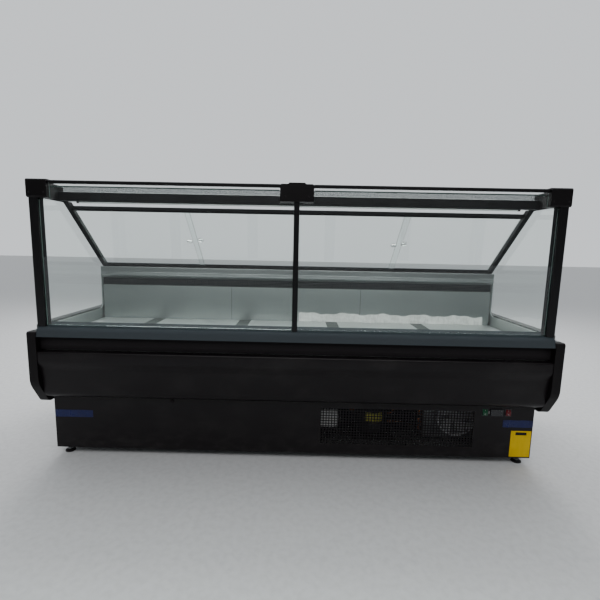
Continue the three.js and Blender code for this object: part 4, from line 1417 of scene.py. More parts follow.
@dataclass
class Machinery(Assembly):
    """Compressor, condenser with its guarded fan, junction box, pipes and the mains inlet."""

    pipe: float = 0.0048  # radius of the pipes
    shell: float = 0.092  # radius of the compressor
    sticker: tuple[Span, Span] = ((-118, -62), (0.52, 0.76))  # degrees round the shell, and shares of its height
    guard_rings: int = 7
    guard_radius: float = 0.096
    shroud: float = 0.040  # depth of the condenser's shroud
    mouth: float = 0.070  # half the width of the shroud's opening
    bends: int = 5
    bend_pitch: float = 0.042

    def compressor(self) -> None:
        """A welded shell with a seam lip, feet on rubber, a terminal cover and a blank sticker."""
        box = Box.of("compressor")
        x, y, _ = box.centre
        r, z, h = self.shell, box.z0, box.z1 - box.z0
        knots = np.array(
            [(0.05, 0.07), (0.55, 0.085), (0.86, 0.15), (0.985, 0.27), (1, 0.46), (1.04, 0.465), (1.04, 0.49)]
            + [(1, 0.495), (0.985, 0.70), (0.90, 0.85), (0.70, 0.945), (0.40, 0.99), (0.05, 1.0)]
        )
        shell = turned_profile(knots * [r, h], (x, y, z), Axis.Z, 48)
        base = upwards(rectangle(box.x0, box.y0, box.x1, box.y1, 0.02), z + 0.010, z + 0.014)
        cover = Box(x - 0.028, y - r - 0.020, z + 0.055, x + 0.028, y - r + 0.012, z + 0.105)
        self.piece("compressor_shell", shell, SHELL_BLACK, stands_for=["compressor"])
        self.piece("compressor_base", base, SHELL_BLACK, bevel=0.001)
        self.piece("compressor_terminal_cover", block(cover), FAN_BLACK, bevel=0.004, segments=3)
        grommet = [(0.004, 0.0), (0.012, 0.0), (0.013, 0.004), (0.010, 0.007), (0.012, 0.0100), (0.004, 0.0100)]
        corners = [(a.value * 0.098, b.value * 0.078) for a in Side for b in Side]
        rubbers = Surface.join(turned_profile(grommet, (x + dx, y + dy, z), Axis.Z, 16) for dx, dy in corners)
        self.piece("compressor_grommets", rubbers, SOFT_BLACK)
        turn, share = self.sticker
        angle = np.radians(np.linspace(*turn, 15))
        arc = np.stack([x + (r + 0.0006) * np.cos(angle), y + (r + 0.0006) * np.sin(angle)], 1)
        sticker = self.wrapped(arc, z + h * share[0], z + h * share[1])
        self.piece("blank_sticker", sticker, YELLOW_STICKER)

    @staticmethod
    def wrapped(arc: Floats, low: float, high: float) -> Surface:
        """A thin label that follows an arc of (x, y) points between two heights.

        Args:
            arc: Rows of x, y.
            low: Height of its lower edge.
            high: Height of its upper edge.

        Returns:
            The closed label.
        """
        points = np.concatenate([np.insert(arc, 2, height, axis=1) for height in (low, high)])
        centre = points.mean(0) + [0, 0.09, 0]
        outward = points - centre
        outward[:, 2] = 0
        outward /= np.linalg.norm(outward, axis=1, keepdims=True)
        return thickened(Surface(points, (grid_faces(2, len(arc)),)), outward * 0.0003)

    def rotor(self, node: str, body: Body, blades: int, hub: float, finish: Finish) -> None:
        """An axial fan facing the customer: each blade is swept and twisted from hub to tip.

        At share s of the span and t of the chord, the angle is (t - 0.5) w(s) + 0.35 s, and the depth is
        (t - 0.5) d (1 - 0.45 s), so the pitch is steep at the hub and flat at the tip.

        Args:
            node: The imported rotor.
            body: The body that it rides on.
            blades: Number of blades.
            hub: The hub's radius.
            finish: Its finish.
        """
        box = Box.of(node)
        cx, cy, cz = box.centre
        radius = max(box.size[0], box.size[2]) / 2 - 0.001
        depth = box.size[1] - 0.004
        s, t = np.meshgrid(np.linspace(0, 1, 9), np.linspace(0, 1, 9), indexing="ij")
        r = hub * 0.9 + (radius - hub * 0.9) * s
        angle = (t - 0.5) * (1.05 - 0.25 * s) + 0.35 * s
        y = (t - 0.5) * depth * (1 - 0.45 * s)
        points = np.stack([r * np.cos(angle), y, r * np.sin(angle)], -1).reshape(-1, 3)
        blade = thickened(Surface(points, (grid_faces(9, 9),)), np.array([0, 0.0014, 0]))
        parts = [blade.turned(2 * math.pi * k / blades, Axis.Y) for k in range(blades)]
        cap = [(0.002, -depth / 2 - 0.001), (hub * 0.7, -depth / 2), (hub * 0.97, -depth / 2 + 0.004)]
        cap += [(hub, depth / 2), (0.002, depth / 2)]
        parts.append(turned_profile(cap, (0, 0, 0), Axis.Y))
        self.piece(f"{node}_rotor", Surface.join(parts).moved((cx, cy, cz)), finish, body, [node])

    def guard(self) -> None:
        """The fan's duct ring, and a guard of wire rings and spokes in front of it."""
        fan, coil = Box.of("condenser_fan"), Box.of("condenser")
        cx, _, cz = fan.centre
        front = coil.y0
        duct = [(0.095, 0.001), (0.1035, 0.0), (0.1045, 0.003), (0.100, 0.006), (0.0985, 0.040)]
        duct += [(0.0955, 0.040), (0.0965, 0.006), (0.095, 0.001)]
        ring = turned_profile(duct, (cx, front, cz), Axis.Y, 64)
        self.piece("fan_duct_ring", Surface(ring.points, ring.faces[:1]), WIRE_PAINTED_BACKLIGHT)
        theta = around(64)
        wires = []
        for k in range(1, self.guard_rings + 1):
            radius = self.guard_radius * k / self.guard_rings
            path = np.stack([cx + radius * np.cos(theta), np.full(64, front + 0.0035), cz + radius * np.sin(theta)], 1)
            wires.append(self.ring_wire(path, 0.0016))
        for k in range(4):
            turn = math.pi * k / 4 + 0.2
            reach = np.array([math.cos(turn), 0, math.sin(turn)]) * 0.101
            centre = np.array([cx, front + 0.0055, cz])
            wires.append(piped([centre - reach, centre + reach], 0.0013, 8, 0))
        self.piece("fan_guard", Surface.join(wires), WIRE_PAINTED_BACKLIGHT)

    @staticmethod
    def ring_wire(path: Floats, radius: float) -> Surface:
        """A closed loop of round wire about +Y: the section is radius (cos t outwards + sin t Y).

        Args:
            path: Rows of x, y, z around the loop.
            radius: The wire's radius.

        Returns:
            The closed wire.
        """
        centre = path.mean(0)
        outward = path - centre
        outward /= np.linalg.norm(outward, axis=1, keepdims=True)
        angle = around(8)[None, :, None]
        rings = path[:, None] + radius * (np.cos(angle) * outward[:, None] + np.sin(angle) * np.array([0, 1, 0]))
        return Surface(rings.reshape(-1, 3), (grid_faces(len(path), 8, True, True),))

    def condenser(self) -> None:
        """The finned coil between two end plates, with the return bends of its tubes."""
        box = Box.of("condenser")
        front = box.y0 + self.shroud
        coil = Box(box.x0 + 0.006, front, box.z0 + 0.004, box.x1 - 0.006, box.y1, box.z1 - 0.004)
        self.piece("condenser_fins", block(coil), FINS_PAINTED_GAP_SHADE, stands_for=["condenser"])
        plates = [box.but(x0=x, y0=front - 0.003, x1=x + 0.002) for x in (box.x0, box.x1 - 0.002)]
        shroud = box.but(y0=front - 0.003, y1=front - 0.001)
        fan = Box.of("condenser_fan").centre
        half = self.mouth
        mouth = np.array([[fan[0] - half, fan[2] - half, fan[0] + half, fan[2] + half]])
        metal = Surface.join([*(block(p) for p in plates), pierced(shroud, mouth)])
        self.piece("condenser_casing", metal, ZINC)
        bends = []
        near, far, y = box.x0 + 0.004, box.x0 - 0.016, front + 0.03
        for row in range(self.bends):
            z = box.z0 + 0.03 + row * self.bend_pitch
            high = z + self.bend_pitch / 2
            path = [(near, y, z), (far, y, z), (far, y, high), (near, y, high)]
            bends.append(piped(path, self.pipe, 8, 2))
        self.piece("condenser_bends", Surface.join(bends), COPPER)

    def pipework(self) -> None:
        """Discharge and suction pipes, and a filter drier on the liquid line."""
        comp, coil = Box.of("compressor"), Box.of("condenser")
        x, y, _ = comp.centre
        top = comp.z1
        back = coil.y1 + 0.03
        discharge = [(x + 0.075, y, 0.16), (x + 0.125, y, 0.16), (x + 0.125, y, 0.235), (coil.x0 - 0.05, y, 0.235)]
        discharge += [(coil.x0 - 0.05, back - 0.06, 0.235), (coil.x0 + 0.002, back - 0.06, 0.235)]
        suction = [(x - 0.070, y, 0.17), (x - 0.12, y, 0.17), (x - 0.12, y + 0.05, 0.20), (x - 0.12, y + 0.16, 0.20)]
        suction += [(x - 0.12, y + 0.16, top + 0.045)]
        liquid = [(coil.x0 + 0.002, back - 0.05, 0.085), (coil.x0 - 0.04, back - 0.05, 0.085)]
        liquid += [(coil.x0 - 0.06, back, 0.085), (x - 0.05, back, 0.085), (x - 0.09, back, 0.12)]
        liquid += [(x - 0.09, back, top + 0.045)]
        lines = ((discharge, 1.0), (suction, 1.25), (liquid, 0.8))
        pipes = Surface.join(piped(path, self.pipe * width) for path, width in lines)
        self.piece("refrigerant_pipes", pipes, COPPER)
        drier = [(0.004, 0), (0.010, 0.006), (0.0135, 0.014), (0.0135, 0.085), (0.010, 0.093), (0.004, 0.099)]
        self.piece("filter_drier", turned_profile(drier, (x + 0.06, back, 0.085), Axis.X), COPPER)

    def electrics(self) -> None:
        """Junction box with a lid and screws, and the mains inlet's gland."""
        box = Box.of("junction_box")
        body = box.but(y0=box.y0 + 0.012)
        lid = box.but(y0=box.y0 + 0.001, y1=box.y0 + 0.011)
        self.piece("junction_box_body", block(body), BOX_PALE, Body.CASE, ["junction_box"], 0.003, 3)
        self.piece("junction_box_lid", block(lid), BOX_PALE, bevel=0.003, segments=3)
        head = [(0.0004, -0.001), (0.003, -0.0008), (0.0036, 0.0), (0.0036, 0.001), (0.0004, 0.001)]
        places = [(x, z) for x in (box.x0 + 0.010, box.x1 - 0.010) for z in (box.z0 + 0.010, box.z1 - 0.010)]
        screws = Surface.join(turned_profile(head, (x, box.y0 + 0.001, z), Axis.Y, 16) for x, z in places)
        self.piece("junction_box_screws", screws, ZINC)
        inlet = Box.of("mains_inlet")
        x, _, z = inlet.centre
        wall = Box.of("base_rear_panel").y1
        gland = [(0.006, -0.010), (0.010, -0.010), (0.010, 0.0003), (0.0155, 0.0004), (0.016, 0.0015)]
        gland += [(0.016, 0.0085), (0.0135, 0.0105), (0.0115, 0.0135), (0.0105, 0.0215), (0.009, 0.022)]
        gland += [(0.006, 0.0215), (0.006, -0.010)]
        turned = turned_profile(gland, (x, wall, z), Axis.Y, 24)
        self.piece("mains_gland", Surface(turned.points, turned.faces[:1]), SOFT_BLACK, stands_for=["mains_inlet"])

    def build(self) -> None:
        """Makes all the machinery in the base."""
        self.compressor()
        self.condenser()
        self.guard()
        # the fan's pale colour partly paints the light coming through from behind it
        self.rotor("condenser_fan", Body.CONDENSER_FAN, 5, 0.030, FAN_PALE_PAINTED_BACKLIGHT)
        self.pipework()
        self.electrics()


# ---- display well


@dataclass
class DisplayWell(Assembly):
    """The cold well: deck plates, return-air grille, back panel, air outlet, coil, fan plate and worktop."""

    joints: tuple[float, ...] = (-0.84, -0.31, 0.22, 0.74)  # places of the strips between the deck plates
    # the dark strips stand in for the shade in the gaps between plates
    strip: float = 0.070  # width of a strip
    seam: float = 0.003
    rim: float = 0.010
    film_height: float = 0.058

    def deck(self) -> None:
        """Loose plates with turned-down rims, open below, and between neighbours a dark grey strip that paints the
        shade of the gap.
        """
        left, right = Box.of("deck_plate_left"), Box.of("deck_plate_right")
        profile = folded(self.rim_path(left.y1, left.y0, left.z1), 0.0012)
        gap = self.strip / 2 + 0.0005
        starts = [left.x0, *(x + gap for x in self.joints)]
        ends = [*(x - gap for x in self.joints), right.x1]
        for k, (x0, x1) in enumerate(zip(starts, ends), 1):
            nodes = [n for n, inside in (("deck_plate_left", x0 < 0), ("deck_plate_right", x1 > 0)) if inside]
            plate = along_case(profile, x0, x1)
            # deck plates take the brighter stainless copy: painted light
            self.piece(f"deck_plate_{k}", plate, DECK_STEEL_PAINTED_LIGHT, stands_for=nodes, slot="stainless")
        half, y0, y1 = self.strip / 2, left.y0 + 0.002, left.y1 - 0.002
        # dark strips laid in the gaps as painted shade
        strips = (block(Box(x - half, y0, left.z1 - 0.0035, x + half, y1, left.z1 - 0.0005)) for x in self.joints)
        self.piece("deck_gap_shade_strips", Surface.join(strips), DECK_GAP_SHADE)

    def film(self) -> None:
        """A run of crumpled white film along the foot of the back panel at the right.

        Its face stands off the panel by 6 mm, plus 3 mm times two crossed sine waves, and its top edge is uneven.
        """
        panel, deck = Box.of("back_panel"), Box.of("deck_plate_right")
        u, v = np.meshgrid(np.linspace(0, 1, 121), np.linspace(0, 1, 9))
        x = 0.020 + (panel.x1 - 0.060) * u
        lift = 0.006 + 0.003 * np.sin(53 * u + 4 * v) * np.sin(19 * u - 6 * v)
        top = self.film_height * (0.86 + 0.09 * np.sin(31 * u) + 0.05 * np.sin(83 * u + 1))
        points = np.stack([x, panel.y0 - lift * (1.2 - v), deck.z1 + 0.0006 + top * v], -1).reshape(-1, 3)
        sheet = Surface(points, (grid_faces(9, 121),))
        self.piece("white_film", thickened(sheet, np.array([0, 0.0004, 0])), WHITE_FILM)

    def rim_path(self, start: float, end: float, top: float) -> Floats:
        """The (y, z) path over a plate from rim to rim, with rounded shoulders.

        Args:
            start: Y of the first rim.
            end: Y of the last rim.
            top: Height of the plate's face.

        Returns:
            The path.
        """
        shoulder = np.radians(np.linspace(0, 90, 6))
        r = 0.004
        first = np.stack([start - r + r * np.cos(shoulder), top - r + r * np.sin(shoulder)], 1)
        last = np.stack([end + r - r * np.cos(shoulder[::-1]), top - r + r * np.sin(shoulder[::-1])], 1)
        return np.vstack([[[start, top - self.rim]], first, last, [[end, top - self.rim]]])

    def grille(self) -> None:
        """The return-air grille: a slotted sheet in front of the deck, on a leg that stands on the tub floor."""
        box = Box.of("return_air_grille")
        along, across = (box.x0 + 0.02, box.x1 - 0.02), (box.y0 + 0.009, box.y1 - 0.007)
        slots = opening_grid(along, across, (180, 2), (0.0045, 0.005))
        lying = pierced(Box(box.x0, 0, box.y0, box.x1, 0.0015, box.y1), slots)
        top = Surface(lying.points[:, [0, 2, 1]] * [1, 1, -1] + [0, 0, box.z1], lying.faces)
        leg = box.but(y1=box.y0 + 0.0015, z1=box.z1 - 0.0016)
        self.piece("return_grille", Surface.join([top, block(leg)]), STEEL, stands_for=["return_air_grille"])

    def back(self) -> None:
        """The back panel: three sheets side by side, each with a hemmed top edge."""
        box = Box.of("back_panel")
        width = (box.x1 - box.x0) / 3
        for k in range(3):
            x0 = box.x0 + k * width + self.seam / 3
            x1 = x0 + width - self.seam * 2 / 3
            hem = np.radians(np.linspace(180, 0, 9))
            top = np.stack([box.y0 + 0.0015 + 0.0015 * np.cos(hem), box.z1 - 0.0015 + 0.0015 * np.sin(hem)], 1)
            path = np.vstack([[[box.y0, box.z0]], top, [[box.y1, box.z1 - 0.018]]])
            sheet = along_case(folded(path[::-1], 0.0010), x0, x1)
            # back sheets take the darker stainless copy: painted shade
            self.piece(f"back_sheet_{k + 1}", sheet, STEEL_UPRIGHT_PAINTED_SHADE, stands_for=["back_panel"], slot="stainless")

    def outlet(self) -> None:
        """The air outlet: a honeycomb of fine upright cells."""
        box = Box.of("rear_air_outlet")
        along, up = (box.x0 + 0.004, box.x1 - 0.004), (box.z0 + 0.004, box.z1 - 0.004)
        cells = opening_grid(along, up, (216, 4), (0.0016, 0.0016))
        self.piece("air_outlet", pierced(box, cells), OUTLET_DARK, stands_for=["rear_air_outlet"])

    def worktop(self) -> None:
        """The folded stainless top, with a rolled rear edge and an apron over the air outlet."""
        box = Box.of("worktop")
        y, top = box.y0, box.z1
        corners = [(box.y1 - 0.014, top - 0.028, 0.0), (box.y1, top - 0.028, 0.003), (box.y1, top, 0.006)]
        corners += [(y + 0.012, top, 0.004), (y + 0.012, top - 0.033, 0.004), (y, top - 0.045, 0.003)]
        corners += [(y, top - 0.053, 0.003), (y + 0.016, top - 0.068, 0.003), (y + 0.032, top - 0.068, 0.0)]
        sheet = along_case(folded(rounded(corners), 0.0018), box.x0, box.x1)
        self.piece("worktop_sheet", sheet, STEEL, stands_for=["worktop"])

    def cold_parts(self) -> None:
        """The finned coil, its fan plate and the tub's foamed walls."""
        self.dress("evaporator_coil", FINS_PAINTED_GAP_SHADE)
        self.dress("fan_plate", ZINC)
        self.dress("tub_floor", PAINT)
        self.dress("tub_front_wall", FOAM_LINER)
        self.dress("tub_rear_wall", PAINT, 0.002)

    def build(self) -> None:
        """Makes the well from the deck up."""
        self.deck()
        self.film()
        self.grille()
        self.back()
        self.outlet()
        self.worktop()
        self.cold_parts()


# ---- glass and frames


@dataclass
class Superstructure(Assembly):
    """Posts, mullion, blocks, beams and fixed glass."""

    sill_slope: Trio = (0.025, 0.097, 0.004)  # where the sill's top starts, its run and its rise
    gap: float = 0.0003  # between the sill and what stands on it
    cleat_foot: float = 0.6462  # height that the cleats stand at
    cleat_width: float = 0.026
    cleat_leg: float = 0.030
    cleat_sheet: float = 0.0022

    def sill_height(self, y: Floats) -> Floats:
        """Height of the sill's top at places y behind its shoulder, a hair above it."""
        sill = Box.of("front_sill")
        start, run, rise = self.sill_slope
        return sill.z1 - rise + rise * (y - sill.y0 - start) / run + self.gap

    def posts(self) -> None:
        """Corner posts: a black section with a rounded front, and a duller strip let into its inner cheek."""
        for side in Side:
            node = f"corner_post_{side.word}"
            box = Box.of(node)
            inner, outer = (box.x0, box.x1) if side is Side.RIGHT else (box.x1, box.x0)
            s = side.value
            pocket = inner + s * 0.001
            outline = rounded(
                [(inner, box.y0, 0.004), (outer, box.y0, 0.009), (outer, box.y1, 0.003), (pocket, box.y1, 0.001)]
                + [(pocket, box.y0 + 0.0095, 0.0005), (inner, box.y0 + 0.0085, 0.0005)]
            )
            post = upwards(outline, self.sill_height(outline[:, 1]), box.z1)
            self.piece(f"post_{side.word}", post, POST_BLACK, stands_for=[node])
            x0, x1 = sorted((inner + s * 0.0001, inner + s * 0.0011))
            strip = rectangle(x0, box.y0 + 0.0100, x1, box.y1 - 0.003)
            face = upwards(strip, self.sill_height(strip[:, 1]) + 0.001, box.z1 - 0.001)
            self.piece(f"post_cheek_{side.word}", face, POST_CHEEK)
            self.cleat(side, box)

    def cleat(self, side: Side, post: Box) -> None:
        """A small stainless angle, with a bolt, that ties the post's foot to the end panel.

        Args:
            side: The end of the case.
            post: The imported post's box.
        """
        s = side.value
        panel = Box.of(f"end_panel_{side.word}")
        start = s * (abs(post.x1 if side is Side.RIGHT else post.x0) + 0.0005)
        end = panel.x1 - 0.008 if side is Side.RIGHT else panel.x0 + 0.008
        y0, low, sheet = post.y0 + 0.004, self.cleat_foot, self.cleat_sheet
        fold, foot_top, leg_top = start + s * sheet, low + sheet, low + self.cleat_leg
        section = [(start, low), (end, low), (end, foot_top), (fold, foot_top), (fold, leg_top), (start, leg_top)]
        angle = backwards(np.array(section), y0, y0 + self.cleat_width)
        head = [(0.0004, 0.0052), (0.0042, 0.0050), (0.0048, 0.0034), (0.0048, sheet), (0.0004, sheet)]
        bolt = turned_profile(head, ((start + end) / 2, y0 + self.cleat_width / 2, low), Axis.Z, 6)
        self.piece(f"post_cleat_{side.word}", Surface.join([angle, bolt]), STEEL)

    def mullion(self) -> None:
        """The slim centre upright with rounded front edges."""
        box = Box.of("mullion")
        outline = rectangle(box.x0, box.y0, box.x1, box.y1, 0.004)
        bar = upwards(outline, self.sill_height(outline[:, 1]), box.z1)
        self.piece("centre_mullion", bar, POST_BLACK, stands_for=["mullion"])

    def pane(
        self, name: str, ring: Floats, offset: Point, node: str, body: Body = Body.CASE, finish: Finish = CLEAR
    ) -> None:
        """A flat pane: a ring of points and the same ring moved by the thickness, with ground edges.

        Args:
            name: The pane's name.
            ring: Its outline on one face.
            offset: From that face to the other.
            node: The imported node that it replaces.
            body: The body that it rides on.
            finish: Its glass.
        """
        plate = loft(np.stack([ring, ring + np.asarray(offset, float)]))
        self.piece(name, plate, finish, body, [node], 0.0006, 1, CLEAR_EDGE, "clear_glass")

    def side_glass(self) -> None:
        """End panes with a rounded lower rear corner and a slanted rear edge."""
        for side in Side:
            node = f"side_glass_{side.word}"
            box = Box.of(node)
            beam, ledge = Box.of("rear_top_beam"), Box.of("worktop")
            sill = Box.of("front_sill")
            member = Box.of(f"door_side_member_{side.word}")
            front, rear, lift, shelf = sill.y1 + 0.002, ledge.y0 + 0.018, sill.z1 + 0.006, ledge.z1 + 0.001
            outline = rounded(
                [(box.y0, lift, 0.002), (front, lift, 0.002), (front, box.z0, 0.004), (rear, box.z0, 0.045)]
                + [(rear, shelf, 0.001), (member.y1 - 0.001, shelf, 0.002), (member.y0 + 0.0409, beam.z0, 0.002)]
                + [(beam.y1, box.z1, 0.002), (box.y0, box.z1, 0.002)],
                8,
            )
            ring = np.insert(outline, 0, box.x0, axis=1)
            self.pane(f"side_pane_{side.word}", ring, (box.x1 - box.x0, 0, 0), node)

    def top_glass(self) -> None:
        """The narrow fixed top pane, with tongues between the blocks."""
        box = Box.of("top_glass")
        centre, corner = Box.of("centre_block"), Box.of("corner_block_right")
        half, notch = box.x1, centre.y1 + 0.001
        inner, outer = centre.x1 + 0.004, corner.x0 - 0.004
        right = [(inner, notch), (inner, box.y0), (outer, box.y0), (outer, notch), (half, notch), (half, box.y1)]
        left = [(-x, y) for x, y in reversed(right)]
        outline = np.array(right + left)
        ring = np.insert(outline, 2, box.z0, axis=1)
        self.pane("top_pane", ring, (0, 0, box.z1 - box.z0), "top_glass", finish=CLEAR_TOP)

    def blocks(self) -> None:
        """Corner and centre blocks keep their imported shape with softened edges, and get screw caps."""
        for node in ("corner_block_left", "corner_block_right", "centre_block"):
            self.dress(node, BLOCK_MOULDING, 0.0025, 3)
        caps = []
        dome = [(0.0004, -0.0012), (0.003, -0.0010), (0.0046, -0.0002), (0.0046, 0.0006), (0.0004, 0.0006)]
        for node, spread in (("corner_block_left", 0.034), ("corner_block_right", 0.034), ("centre_block", 0.052)):
            box = Box.of(node)
            x, _, _ = box.centre
            z = box.z0 + 0.022
            caps += [turned_profile(dome, (x + dx, box.y0, z), Axis.Y, 16) for dx in (-spread, spread)]
        self.piece("block_screw_caps", Surface.join(caps), SOFT_BLACK)
        pane, beam = Box.of("side_glass_right"), Box.of("rear_top_beam")
        for side in Side:
            x0, x1 = sorted((side.value * (beam.x1 + 0.0008), side.value * (pane.x0 - 0.0006)))
            web = Box(x0, pane.y0 - 0.002, beam.z0 - 0.004, x1, beam.y1 - 0.0008, beam.z1 - 0.0006)
            self.piece(f"arm_web_{side.word}", block(web), BLOCK_MOULDING, bevel=0.0012)

    def beam_and_lamp(self) -> None:
        """The rear top beam, and under it the lamp: an opal half round in an aluminium tray."""
        self.dress("rear_top_beam", RAIL_BLACK, 0.002)
        box = Box.of("led_lamp")
        y, r = (box.y0 + box.y1) / 2, (box.y1 - box.y0) / 2
        arc = np.radians(np.linspace(180, 360, 13))
        half = np.stack([y + (r - 0.0006) * np.cos(arc), box.z0 + r + (r - 0.0002) * np.sin(arc)], 1)
        half = half[half[:, 1] < box.z1 - 0.003]
        self.piece("lamp_cover", along_case(half, box.x0 + 0.012, box.x1 - 0.012), OPAL, stands_for=["led_lamp"])
        left, right, roof = box.x0 + 0.010, box.x1 - 0.010, box.z1 - 0.0034
        section = [(box.x0, box.z0), (box.x0, box.z1), (box.x1, box.z1), (box.x1, box.z0)]
        section += [(right, box.z0), (right, roof), (left, roof), (left, box.z0)]
        self.piece("lamp_tray", backwards(np.array(section), box.y0, box.y1), BEZEL)

    def build(self) -> None:
        """Makes the whole fixed superstructure."""
        self.posts()
        self.mullion()
        self.side_glass()
        self.top_glass()
        self.blocks()
        self.beam_and_lamp()


@dataclass
class FrontPanes(Assembly):
    """The two lift-up front panes in their hinge rails."""

    frame_parts: Superstructure
    notch: float = 0.004

    def build(self) -> None:
        """Makes each pane with its notched top corners, and its rail."""
        centre, corner = Box.of("centre_block"), Box.of("corner_block_right")
        for side in Side:
            body = Body.PANE_RIGHT if side is Side.RIGHT else Body.PANE_LEFT
            node = f"front_glass_{side.word}"
            box = Box.of(node)
            s = side.value
            near, far = sorted((abs(box.x0), abs(box.x1)))
            shoulder = corner.z0 - 0.006
            first, last = centre.x1 + self.notch, corner.x0 - self.notch
            corners = [(near, box.z0, 0.003), (far, box.z0, 0.003), (far, shoulder, 0.003), (last, shoulder, 0.004)]
            corners += [(last, box.z1, 0.001), (first, box.z1, 0.001), (first, shoulder, 0.004)]
            corners += [(near, shoulder, 0.003)]
            ring = np.insert(rounded([(s * x, z, r) for x, z, r in corners]), 1, box.y0, axis=1)
            self.frame_parts.pane(f"front_pane_{side.word}", ring, (0, box.y1 - box.y0, 0), node, body)
            self.dress(f"glass_hinge_rail_{side.word}", RAIL_BLACK)


@dataclass
class RearDoors(Assembly):
    """The slanted rear: side members, two-lane tracks and four sliding panes with pulls."""

    frame_parts: Superstructure
    glass: float = 0.005  # thickness of a pane
    count: int = 4
    pull_set: float = 0.045  # from a pull's middle to its door's edge
    seal: Span = (0.0045, 0.012)  # half a seal's width, and how far it stays off each track's middle

    def lean(self) -> Floats:
        """The unit vector up the slant, from the bottom track to the top one."""
        rise = Box.of("door_top_track").centre - Box.of("door_bottom_track").centre
        rise[0] = 0
        return rise / np.linalg.norm(rise)

    def build(self) -> None:
        """Makes the doors, and dresses the members and tracks."""
        up = self.lean()
        out = np.array([0.0, up[2], -up[1]])  # square to the slant, towards the server
        for k in range(1, self.count + 1):
            body = Body[f"DOOR_{k}"]
            box = Box.of(f"rear_door_{k}")
            length = (box.size[2] - self.glass * out[2]) / up[2]
            middle = box.centre - out * self.glass / 2
            half = length / 2
            flat = rectangle(box.x0, -half, box.x1, half, 0.002)
            ring = middle * [0, 1, 1] + flat[:, :1] * [1, 0, 0] + flat[:, 1:] * up
            self.frame_parts.pane(f"door_pane_{k}", ring, out * self.glass, f"rear_door_{k}", body)
            self.pull(k, body, box, up, out)
        for side in Side:
            self.dress(f"door_side_member_{side.word}", MEMBER_BLACK, 0.0015)
            self.member_strip(side, up, out)
        for node in ("door_top_track", "door_bottom_track"):
            self.dress(node, MEMBER_BLACK)

    def pull(self, k: int, body: Body, box: Box, up: Floats, out: Floats) -> None:
        """A dished round finger pull near a door's free edge, a ring on each face of the glass.

        Args:
            k: The door's number.
            body: The body that it rides on.
            box: The door's packed box.
            up: Unit vector up the slant.
            out: Unit vector square to it.
        """
        free = box.x1 - self.pull_set if k % 2 else box.x0 + self.pull_set
        centre = box.centre * [0, 1, 1] + np.array([free, 0, 0])
        theta = around(32)[:, None]
        circle = np.cos(theta) * np.array([1.0, 0, 0]) + np.sin(theta) * up
        face = self.glass / 2
        dish = [(0.001, 0.0004), (0.0095, 0.0006), (0.0125, 0.0022), (0.0150, 0.0024), (0.0160, 0.0012), (0.0160, 0.0)]
        profile = np.array(dish)
        lane = 1 if k % 2 == 0 else -1
        rings = profile[:, 0, None, None] * circle[None] + (face + profile[:, 1, None, None]) * out * lane
        self.piece(f"door_pull_{k}", loft(rings + centre), CLEAR, body)

    def member_strip(self, side: Side, up: Floats, out: Floats) -> None:
        """The grey seal let into the inner face of a slanted side member.

        Args:
            side: The end of the case.
            up: Unit vector up the slant.
            out: Unit vector square to it.
        """
        box = Box.of(f"door_side_member_{side.word}")
        inner = box.x0 if side is Side.RIGHT else box.x1
        s = side.value
        low, high = Box.of("door_bottom_track"), Box.of("door_top_track")
        half, short = self.seal
        start = low.centre * [0, 1, 1] + up * short
        end = high.centre * [0, 1, 1] - up * short
        x = np.array([inner - s * 0.0002, inner + s * 0.0004])
        across = out * half
        corners = np.stack([start - across, end - across, end + across, start + across])
        rings = np.repeat(corners[None], 2, axis=0)
        rings[:, :, 0] = np.sort(x)[:, None]
        self.piece(f"member_seal_{side.word}", loft(rings), SEAL_GREY)


# ---- controls


